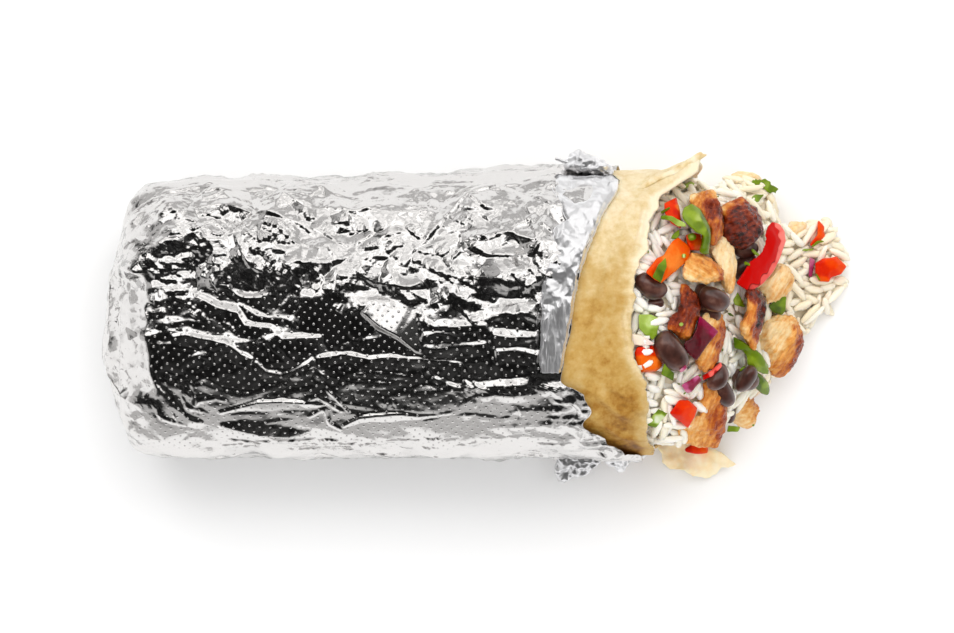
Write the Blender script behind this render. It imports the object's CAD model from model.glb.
"""Looks of a foil-wrapped burrito lying on its side, opened at one end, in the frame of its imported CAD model.

Everything is made in numpy and bmesh around one smooth roll: the foil is that roll with creases, the tortilla
is a cup inside it, and the filling lies on the CAD model's heap of rice. Lengths in tables are millimetres in
the roll's own frame, which lies SHIFT away from the row frame.
"""

import math

import bmesh
import bpy
import numpy as np
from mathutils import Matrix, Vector, geometry


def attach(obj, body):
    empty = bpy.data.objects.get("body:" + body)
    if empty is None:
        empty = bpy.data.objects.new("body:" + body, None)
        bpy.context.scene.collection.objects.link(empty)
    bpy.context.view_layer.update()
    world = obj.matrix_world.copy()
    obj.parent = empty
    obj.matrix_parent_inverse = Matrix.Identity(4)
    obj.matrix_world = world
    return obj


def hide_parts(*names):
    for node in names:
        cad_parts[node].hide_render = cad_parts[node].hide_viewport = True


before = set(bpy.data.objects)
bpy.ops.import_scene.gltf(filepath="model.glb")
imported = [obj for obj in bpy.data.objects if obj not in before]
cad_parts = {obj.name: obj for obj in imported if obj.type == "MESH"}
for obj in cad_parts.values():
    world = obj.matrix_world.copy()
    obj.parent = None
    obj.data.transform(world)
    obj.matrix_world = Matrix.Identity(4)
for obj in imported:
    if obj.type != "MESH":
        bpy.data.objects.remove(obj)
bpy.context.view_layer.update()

MM = 0.001
SHIFT = np.array([-0.4965, 0.03625, 0.0])   # the roll's frame to the row frame, mm

# ---------------------------------------------------------------- numbers

# The roll, as in the CAD model
X_END, HEIGHT_END, HEIGHT_MOUTH = -98.3, 58.0, 61.0
HALF_W_END, HALF_W_MOUTH = 37.3, 39.0
SECTION_POWER, SINK = 2.35, 2.6
END_ROUND, END_LEAN = 22.0, 4.0
FOIL_T, TORTILLA_T, GAP = 0.7, 3.0, 0.5

FOIL_RIM = ((0, 37), (18, 35.8), (42, 33.4), (62, 29.6), (77, 26.4), (92, 24.4),
            (105, 22.4), (113, 21.6), (119, 27.6), (128, 29.6), (135, 27.4),
            (146, 33.5), (158, 38.5), (172, 43.5), (186, 44), (205, 40),
            (235, 39), (262, 44), (290, 43), (325, 40))
TORTILLA_RIM = ((0, 57), (18, 58), (30, 57), (40, 47), (52, 44.6), (64, 43.8),
                (75, 41.2), (90, 39.6), (104, 40.2), (117, 43.4), (132, 44.4),
                (150, 44.6), (170, 46), (188, 46.5), (198, 48), (207, 59), (217, 68),
                (228, 67), (240, 63), (270, 60), (310, 58))


def smooth(low, high, x):
    u = np.clip((np.asarray(x, float) - low) / (high - low), 0.0, 1.0)
    return u * u * (3 - 2 * u)


def ring_value(table, degrees):
    """A smooth periodic curve through (degrees, value) points."""
    a = np.array([t[0] for t in table], float)
    v = np.array([t[1] for t in table], float)
    d = np.mod(np.asarray(degrees, float) - a[0], 360) + a[0]
    a, v = np.append(a, a[0] + 360), np.append(v, v[0])
    i = np.clip(np.searchsorted(a, d, side="right") - 1, 0, len(a) - 2)
    f = (d - a[i]) / (a[i + 1] - a[i])
    return v[i] + (v[i + 1] - v[i]) * f * f * (3 - 2 * f)


def power(v, e):
    return np.sign(v) * np.abs(v) ** e


# ---------------------------------------------------------------- noise

_rng = np.random.default_rng(11)
_PERM = _rng.permutation(256)
_PERM = np.concatenate([_PERM, _PERM, _PERM])
_GRAD = _rng.normal(size=(256, 3))
_GRAD /= np.linalg.norm(_GRAD, axis=1)[:, None]


def noise(p, scale=1.0, seed=0):
    """Gradient noise of about -1 to 1 at points p (n, 3), in lumps about scale across."""
    p = np.asarray(p, float) / scale + seed * 17.31
    i = np.floor(p).astype(int)
    f = p - i
    w = f * f * f * (f * (f * 6 - 15) + 10)
    i &= 255
    total = 0.0
    for dx in (0, 1):
        for dy in (0, 1):
            for dz in (0, 1):
                h = _PERM[_PERM[_PERM[(i[:, 0] + dx) & 255] + ((i[:, 1] + dy) & 255)] + ((i[:, 2] + dz) & 255)]
                g = _GRAD[h]
                d = g[:, 0] * (f[:, 0] - dx) + g[:, 1] * (f[:, 1] - dy) + g[:, 2] * (f[:, 2] - dz)
                total = total + d * np.abs(1 - dx - w[:, 0]) * np.abs(1 - dy - w[:, 1]) * np.abs(1 - dz - w[:, 2])
    return total * 1.6


def fbm(p, scale, seed=0, octaves=3, gain=0.5):
    total, amp, norm = 0.0, 1.0, 0.0
    for k in range(octaves):
        total = total + amp * noise(p, scale / 2 ** k, seed + k * 3.7)
        norm += amp
        amp *= gain
    return total / norm


# ---------------------------------------------------------------- the smooth roll

def roll_section(x, phi, inset):
    along = smooth(-60, 25, x)
    half = HALF_W_END + (HALF_W_MOUTH - HALF_W_END) * along
    high = HEIGHT_END + (HEIGHT_MOUTH - HEIGHT_END) * along
    middle = -0.6 + 1.6 * along
    e = 2 / SECTION_POWER
    y = middle + (half - inset) * power(np.cos(phi), e)
    z = (high - SINK) / 2 + ((high + SINK) / 2 - inset) * power(np.sin(phi), e)
    return y, np.maximum(z, inset)


def around(n, top_share=0.62, start=-90.0):
    """n angles (radians) round the roll, evenly spread by length but denser over the top; also their arc lengths from the top."""
    phi = np.radians(np.linspace(start, start + 360, 2881))
    y, z = roll_section(np.full_like(phi, -20.0), phi, 0.0)
    step = np.hypot(np.diff(y), np.diff(z))
    mid = np.degrees((phi[1:] + phi[:-1]) / 2)
    top = smooth(-25, 5, np.minimum(mid, 180 - mid))
    weight = step * (0.45 + (top_share * 2) * top)
    run = np.concatenate([[0], np.cumsum(weight)])
    at = np.interp(np.linspace(0, run[-1], n + 1)[:-1], run, phi)
    length = np.concatenate([[0], np.cumsum(step)])
    length -= np.interp(math.radians(90), phi, length)
    return at, -np.interp(at, phi, length)


def roll_surface(s, phi, inset, rim, bend=3.1, last_flat=8.0):
    """s: 0 at the closed end's middle, 1 where its rounding stops, 2 at the rim."""
    reach = END_ROUND + END_LEAN * np.cos(phi)
    x_corner = X_END + reach
    # over the closed end
    t = np.clip(s, 0, 1)
    q = t * math.pi / 2
    e = 2 / bend
    r = np.sin(q) ** e
    a = 1 - np.cos(q) ** e
    x_cap = X_END + inset + (reach - inset) * a
    yc, zc = -0.6, HEIGHT_END / 2
    y0, z0 = roll_section(x_corner, phi, inset)
    # along the roll
    u = np.clip(s - 1, 0, 1)
    keep = (last_flat - x_corner) / (rim - x_corner)
    x_run = x_corner + (rim - x_corner) * u
    y1, z1 = roll_section(x_run, phi, inset)
    cap = s <= 1
    x = np.where(cap, x_cap, x_run)
    y = np.where(cap, yc + (y0 - yc) * r, y1)
    z = np.where(cap, zc + (z0 - zc) * r, z1)
    return np.stack([x, y, z], -1)


def grid_normals(p, closed=True):
    """Unit normals of a grid of points (rows, columns, 3) whose columns go round."""
    if closed:
        du = np.roll(p, -1, 1) - np.roll(p, 1, 1)
    else:
        du = np.gradient(p, axis=1)
    ds = np.gradient(p, axis=0)
    n = np.cross(du, ds)
    length = np.linalg.norm(n, axis=-1, keepdims=True)
    return n / np.maximum(length, 1e-12)


def grid_mesh(name, p, closed=True, flip=False, pole=None, attributes=None, extra=None):
    """A mesh object from a grid of points in mm of the roll's frame. pole closes the first row with a point."""
    rows, cols = p.shape[:2]
    verts = p.reshape(-1, 3)
    r, c = np.meshgrid(np.arange(rows - 1), np.arange(cols if closed else cols - 1), indexing="ij")
    c1 = (c + 1) % cols
    quads = np.stack([r * cols + c, r * cols + c1, (r + 1) * cols + c1, (r + 1) * cols + c], -1).reshape(-1, 4)
    if flip:
        quads = quads[:, ::-1]
    mesh = bpy.data.meshes.new(name)
    faces = [quads]
    count = len(verts)
    tris = np.zeros((0, 3), int)
    if pole is not None:
        verts = np.vstack([verts, np.asarray(pole)[None]])
        c = np.arange(cols)
        tris = np.stack([(c + 1) % cols, c, np.full(cols, count)], -1)
        if flip:
            tris = tris[:, ::-1]
    mesh_from(mesh, verts, quads, tris)
    ob = bpy.data.objects.new(name, mesh)
    bpy.context.scene.collection.objects.link(ob)
    for key, values in (attributes or {}).items():
        add_attribute(ob, key, values)
    return ob


def mesh_from(mesh, verts, quads, tris=None):
    tris = np.zeros((0, 3), int) if tris is None else tris
    loops = np.concatenate([quads.reshape(-1), tris.reshape(-1)]).astype(np.int32)
    sizes = np.concatenate([np.full(len(quads), 4), np.full(len(tris), 3)]).astype(np.int32)
    starts = np.concatenate([[0], np.cumsum(sizes)[:-1]]).astype(np.int32)
    mesh.vertices.add(len(verts))
    mesh.vertices.foreach_set("co", ((verts + SHIFT) * MM).astype(np.float32).ravel())
    mesh.loops.add(len(loops))
    mesh.loops.foreach_set("vertex_index", loops)
    mesh.polygons.add(len(sizes))
    mesh.polygons.foreach_set("loop_start", starts)
    mesh.polygons.foreach_set("loop_total", sizes)
    mesh.update(calc_edges=True)
    mesh.validate()
    mesh.polygons.foreach_set("use_smooth", np.ones(len(mesh.polygons), bool))


def add_attribute(ob, key, values):
    values = np.asarray(values, np.float32)
    n = len(ob.data.vertices)
    if values.ndim == 1:
        if len(values) < n:
            values = np.concatenate([values, np.repeat(values[-1:], n - len(values))])
        at = ob.data.attributes.new(key, "FLOAT", "POINT")
        at.data.foreach_set("value", values)
    else:
        if len(values) < n:
            values = np.vstack([values, np.repeat(values[-1:], n - len(values), 0)])
        at = ob.data.attributes.new(key, "FLOAT_VECTOR", "POINT")
        at.data.foreach_set("vector", values.ravel())


# ---------------------------------------------------------------- creases

class Sheet:
    """Heights of the foil's creases over (x, arc length from the top), mm, on a fine raster."""
    STEP = 0.25
    X0, U0 = -152.0, -120.0
    NX, NU = 840, 960

    def __init__(self):
        self.x = self.X0 + self.STEP * np.arange(self.NX)
        self.u = self.U0 + self.STEP * np.arange(self.NU)

    def facets(self, seed, cell_x, cell_u, controls=(), keep_off=4.0):
        """Random heights (-1..1) at scattered points, joined by flat triangles."""
        rng = np.random.default_rng(seed)
        nx = int((self.NX * self.STEP) / cell_x) + 4
        nu = int((self.NU * self.STEP) / cell_u) + 4
        i, j = np.meshgrid(np.arange(nx), np.arange(nu), indexing="ij")
        px = self.X0 - 1.5 * cell_x + (i + 0.5 * (j % 2) + rng.uniform(-0.42, 0.42, i.shape)) * cell_x
        pu = self.U0 - 1.5 * cell_u + (j + rng.uniform(-0.42, 0.42, i.shape)) * cell_u
        pts = np.stack([px.ravel(), pu.ravel()], -1)
        h = rng.uniform(-1, 1, len(pts))
        if len(controls):
            c = np.array(controls, float)
            d = np.hypot((pts[:, None, 0] - c[None, :, 0]), (pts[:, None, 1] - c[None, :, 1])).min(1)
            pts, h = pts[d > keep_off], h[d > keep_off]
            pts, h = np.vstack([pts, c[:, :2]]), np.concatenate([h, c[:, 2]])
        out = geometry.delaunay_2d_cdt([Vector(q) for q in pts.tolist()], [], [], 0, 1e-6)
        verts = np.array([tuple(v) for v in out[0]])
        source = np.array([o[0] if o else -1 for o in out[3]])
        h = np.where(source >= 0, h[np.maximum(source, 0)], 0.0)
        image = np.zeros((self.NX, self.NU), np.float32)
        for face in out[2]:
            a, b, c = verts[face[0]], verts[face[1]], verts[face[2]]
            ha, hb, hc = h[face[0]], h[face[1]], h[face[2]]
            lo = np.minimum(np.minimum(a, b), c)
            hi = np.maximum(np.maximum(a, b), c)
            i0 = max(0, int((lo[0] - self.X0) / self.STEP))
            i1 = min(self.NX, int((hi[0] - self.X0) / self.STEP) + 2)
            j0 = max(0, int((lo[1] - self.U0) / self.STEP))
            j1 = min(self.NU, int((hi[1] - self.U0) / self.STEP) + 2)
            if i0 >= i1 or j0 >= j1:
                continue
            X = self.x[i0:i1, None]
            U = self.u[None, j0:j1]
            det = (b[1] - c[1]) * (a[0] - c[0]) + (c[0] - b[0]) * (a[1] - c[1])
            if abs(det) < 1e-9:
                continue
            wa = ((b[1] - c[1]) * (X - c[0]) + (c[0] - b[0]) * (U - c[1])) / det
            wb = ((c[1] - a[1]) * (X - c[0]) + (a[0] - c[0]) * (U - c[1])) / det
            wc = 1 - wa - wb
            inside = (wa >= -1e-6) & (wb >= -1e-6) & (wc >= -1e-6)
            part = image[i0:i1, j0:j1]
            part[inside] = (wa * ha + wb * hb + wc * hc)[inside]
        return image

    def sample(self, image, x, u):
        fi = np.clip((x - self.X0) / self.STEP, 0, self.NX - 1.001)
        fj = np.clip((u - self.U0) / self.STEP, 0, self.NU - 1.001)
        i, j = fi.astype(int), fj.astype(int)
        a, b = fi - i, fj - j
        return ((image[i, j] * (1 - a) + image[i + 1, j] * a) * (1 - b)
                + (image[i, j + 1] * (1 - a) + image[i + 1, j + 1] * a) * b)


# ---------------------------------------------------------------- materials

def node_material(name):
    made = bpy.data.materials.new(name)
    made.use_nodes = True
    tree = made.node_tree
    return made, tree, tree.nodes["Principled BSDF"]


class Nodes:
    """Short hands for building node trees."""

    def __init__(self, tree):
        self.tree = tree

    def new(self, kind, **values):
        node = self.tree.nodes.new(kind)
        for key, value in values.items():
            setattr(node, key, value)
        return node

    def link(self, a, b):
        self.tree.links.new(a, b)

    def put(self, socket, value):
        if isinstance(value, bpy.types.NodeSocket):
            self.link(value, socket)
        elif value is not None:
            socket.default_value = value

    def math(self, op, a, b=None, c=None, clamp=False):
        node = self.new("ShaderNodeMath", operation=op, use_clamp=clamp)
        for socket, value in zip(node.inputs, (a, b, c)):
            self.put(socket, value)
        return node.outputs[0]

    def attribute(self, name, vector=False):
        node = self.new("ShaderNodeAttribute", attribute_name=name)
        return node.outputs["Vector" if vector else "Fac"]

    def object_mm(self):
        """Row-frame coordinates in millimetres."""
        coord = self.new("ShaderNodeTexCoord")
        return self.scale(coord.outputs["Object"], (1000, 1000, 1000))

    def scale(self, vector, by, rotate=(0, 0, 0), move=(0, 0, 0)):
        node = self.new("ShaderNodeMapping")
        self.put(node.inputs["Vector"], vector)
        node.inputs["Scale"].default_value = by
        node.inputs["Rotation"].default_value = rotate
        node.inputs["Location"].default_value = move
        return node.outputs[0]

    def noise(self, vector, scale, detail=2.0, rough=0.5, distortion=0.0, kind="FBM"):
        node = self.new("ShaderNodeTexNoise", noise_type=kind)
        self.put(node.inputs["Vector"], vector)
        node.inputs["Scale"].default_value = scale
        node.inputs["Detail"].default_value = detail
        node.inputs["Roughness"].default_value = rough
        node.inputs["Distortion"].default_value = distortion
        return node.outputs["Fac"]

    def voronoi(self, vector, scale, feature="F1", randomness=1.0, output="Distance", metric="EUCLIDEAN"):
        node = self.new("ShaderNodeTexVoronoi", feature=feature, distance=metric)
        self.put(node.inputs["Vector"], vector)
        node.inputs["Scale"].default_value = scale
        node.inputs["Randomness"].default_value = randomness
        return node.outputs[output]

    def ramp(self, value, stops, mode="LINEAR"):
        """stops: (position, colour or grey)."""
        node = self.new("ShaderNodeValToRGB")
        node.color_ramp.interpolation = mode
        elements = node.color_ramp.elements
        while len(elements) < len(stops):
            elements.new(0.5)
        for element, (place, colour) in zip(elements, stops):
            element.position = place
            if not isinstance(colour, (tuple, list)):
                colour = (colour,) * 3
            element.color = (*colour[:3], 1.0)
        self.put(node.inputs[0], value)
        return node.outputs[0]

    def remap(self, value, a, b, c=0.0, d=1.0, kind="SMOOTHSTEP"):
        node = self.new("ShaderNodeMapRange", interpolation_type=kind)
        self.put(node.inputs["Value"], value)
        node.inputs["From Min"].default_value = a
        node.inputs["From Max"].default_value = b
        node.inputs["To Min"].default_value = c
        node.inputs["To Max"].default_value = d
        return node.outputs[0]

    def mix(self, factor, a, b, mode="MIX"):
        node = self.new("ShaderNodeMix", data_type="RGBA", blend_type=mode)
        self.put(node.inputs[0], factor)
        for socket, value in ((node.inputs[6], a), (node.inputs[7], b)):
            if isinstance(value, (tuple, list)):
                value = (*value[:3], 1.0)
            self.put(socket, value)
        return node.outputs[2]

    def bump(self, height, strength, distance_mm, normal=None):
        node = self.new("ShaderNodeBump")
        node.inputs["Strength"].default_value = strength
        node.inputs["Distance"].default_value = distance_mm * MM
        self.put(node.inputs["Height"], height)
        if normal is not None:
            self.link(normal, node.inputs["Normal"])
        return node.outputs[0]


def give(ob, material):
    ob.data.materials.clear()
    ob.data.materials.append(material)


def show(ob, slot, *nodes):
    """A finished piece of the object, in place of the CAD nodes named."""
    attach(ob, "root")
    if nodes:
        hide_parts(*nodes)
    return ob


def foil_material():
    made, tree, shader = node_material("foil")
    n = Nodes(tree)
    sheet = n.attribute("sheet", vector=True)      # (x, arc length, 0), mm
    crush = n.attribute("crush")
    shader.inputs["Base Color"].default_value = (0.695, 0.682, 0.672, 1)
    shader.inputs["Metallic"].default_value = 1.0
    shader.inputs["Roughness"].default_value = 0.16

    place = n.object_mm()

    def tips(size_x, size_u, slope, turned, shift):
        """Small flat facets: a vector for each cell, by which the sheet's normal is tipped."""
        p = n.scale(place, (1 / size_x, 1 / size_u, 1 / size_u), rotate=(0, 0, turned), move=(shift, shift * 0.7, 0))
        cell = n.new("ShaderNodeTexVoronoi", voronoi_dimensions="3D", feature="F1")
        n.link(p, cell.inputs["Vector"])
        cell.inputs["Scale"].default_value = 1.0
        tip = n.new("ShaderNodeVectorMath", operation="SUBTRACT")
        n.link(cell.outputs["Color"], tip.inputs[0])
        tip.inputs[1].default_value = (0.5, 0.5, 0.5)
        return scaled(tip.outputs[0], slope * 2)

    def scaled(vector, by):
        node = n.new("ShaderNodeVectorMath", operation="SCALE")
        n.link(vector, node.inputs[0])
        n.put(node.inputs["Scale"], by)
        return node.outputs[0]

    def added(a, b):
        node = n.new("ShaderNodeVectorMath", operation="ADD")
        n.link(a, node.inputs[0])
        n.link(b, node.inputs[1])
        return node.outputs[0]

    tip = added(tips(4.4, 3.3, 0.13, 0.5, 3.1), added(tips(2.1, 1.6, 0.07, -0.7, 11.7), tips(9.0, 1.8, 0.06, 0.06, 23.3)))
    # the closed end is crumpled harder, and the sheet lies flatter or steeper in two places than the roll under it
    parts = n.new("ShaderNodeSeparateXYZ")
    n.link(place, parts.inputs[0])
    x, y, z = parts.outputs

    def within(value, a, b, c, d):
        return n.math("MULTIPLY", n.remap(value, a, b), n.remap(value, d, c))

    steep = n.math("MULTIPLY", within(x, -15, 20, 50, 62), within(y, 1, 9, 22, 31))
    flat = n.math("MULTIPLY", within(x, -93, -86, -58, -38), within(y, 4, 12, 33, 40))
    lean = n.math("MULTIPLY_ADD", steep, 0.125, n.math("MULTIPLY", flat, -0.16))
    sway = n.new("ShaderNodeCombineXYZ")
    n.link(n.math("MULTIPLY", lean, n.remap(z, 20, 32)), sway.inputs[1])
    tip = scaled(tip, n.math("MULTIPLY", crush, n.remap(x, -80, -90, 1.0, 1.8)))
    facing = n.new("ShaderNodeVectorMath", operation="NORMALIZE")
    n.link(added(n.new("ShaderNodeNewGeometry").outputs["Normal"], added(tip, sway.outputs[0])), facing.inputs[0])
    fine = n.noise(sheet, 1.1, detail=3, rough=0.6)
    height = n.math("MULTIPLY", fine, 0.02)
    # embossed dots in a staggered grid, 1.9 mm apart
    dots = n.voronoi(n.scale(sheet, (1 / 1.9, 1 / 1.9, 1), rotate=(0, 0, math.radians(38))), 1.0, randomness=0.0)
    dot = n.remap(dots, 0.19, 0.04)
    some = n.noise(sheet, 0.35, detail=1)
    dot = n.math("MULTIPLY", dot, n.remap(some, 0.35, 0.6, 0.6, 1.0))
    dot = n.math("MULTIPLY", dot, n.remap(crush, 0.3, 0.6, 0.13, 0.035))
    height = n.math("ADD", dot, height)
    n.link(n.bump(height, 1.0, 1.0, facing.outputs[0]), shader.inputs["Normal"])
    return made


# ---------------------------------------------------------------- foil

SHEET = Sheet()
CAM_Z = 1100.0
PX = 0.265 * CAM_Z / 1070 / CAM_Z       # mm of plan for each step of 1 and each mm below the camera

_phi = np.radians(np.linspace(-90, 270, 2881))


def arc_tables():
    y, z = roll_section(np.full_like(_phi, -20.0), _phi, 0.0)
    length = np.concatenate([[0], np.cumsum(np.hypot(np.diff(y), np.diff(z)))])
    return y, z, length - np.interp(math.radians(90), _phi, length)


SECTION_Y, SECTION_Z, SECTION_ARC = arc_tables()
_top = slice(960, 1921)                  # from the +Y side over the top to the -Y side


def at(px, py):
    """(x, arc length from the top) where the camera's point (px, py) meets the top of the roll."""
    z = 58.0
    for _ in range(4):
        x = (px - 477) * PX * (CAM_Z - z)
        y = (316.5 - py) * PX * (CAM_Z - z)
        z = float(np.interp(-y, -SECTION_Y[_top], SECTION_Z[_top]))
    return x, float(np.interp(-y, -SECTION_Y[_top], SECTION_ARC[_top]))


def path_distance(path, reach):
    """For each raster point near a polyline: its distance from it, the side it is on, and how far along it lies."""
    d = np.full((SHEET.NX, SHEET.NU), 1e9, np.float32)
    t = np.zeros_like(d)
    side = np.zeros_like(d)
    path = np.array(path, float)
    runs = np.hypot(*np.diff(path, axis=0).T)
    total = runs.sum()
    done = 0.0
    lo = np.array([1e9, 1e9])
    hi = -lo
    for (x0, u0), (x1, u1), run in zip(path, path[1:], runs):
        i0 = max(0, int((min(x0, x1) - reach - SHEET.X0) / SHEET.STEP))
        i1 = min(SHEET.NX, int((max(x0, x1) + reach - SHEET.X0) / SHEET.STEP) + 2)
        j0 = max(0, int((min(u0, u1) - reach - SHEET.U0) / SHEET.STEP))
        j1 = min(SHEET.NU, int((max(u0, u1) + reach - SHEET.U0) / SHEET.STEP) + 2)
        X, U = SHEET.x[i0:i1, None], SHEET.u[None, j0:j1]
        k = np.clip(((X - x0) * (x1 - x0) + (U - u0) * (u1 - u0)) / max(run * run, 1e-9), 0, 1)
        dist = np.hypot(X - x0 - k * (x1 - x0), U - u0 - k * (u1 - u0))
        cross = (x1 - x0) * (U - u0) - (u1 - u0) * (X - x0)
        part = d[i0:i1, j0:j1]
        closer = dist < part
        part[closer] = dist[closer]
        t[i0:i1, j0:j1][closer] = ((done + k * run) / total)[closer]
        side[i0:i1, j0:j1][closer] = np.sign(cross)[closer]
        done += run
        lo, hi = np.minimum(lo, (i0, j0)), np.maximum(hi, (i1, j1))
    box = (slice(int(lo[0]), int(hi[0])), slice(int(lo[1]), int(hi[1])))
    return box, d[box], side[box], t[box]


def bent(path, rng, step=4.0, sway=0.9):
    """A polyline through path with extra, slightly strayed points."""
    out = [path[0]]
    for (x0, u0), (x1, u1) in zip(path, path[1:]):
        n = max(1, int(math.hypot(x1 - x0, u1 - u0) / step))
        for k in range(1, n + 1):
            f = k / n
            stray = sway if k < n else 0.0
            out.append((x0 + (x1 - x0) * f, u0 + (u1 - u0) * f + rng.uniform(-stray, stray)))
    return out


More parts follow.
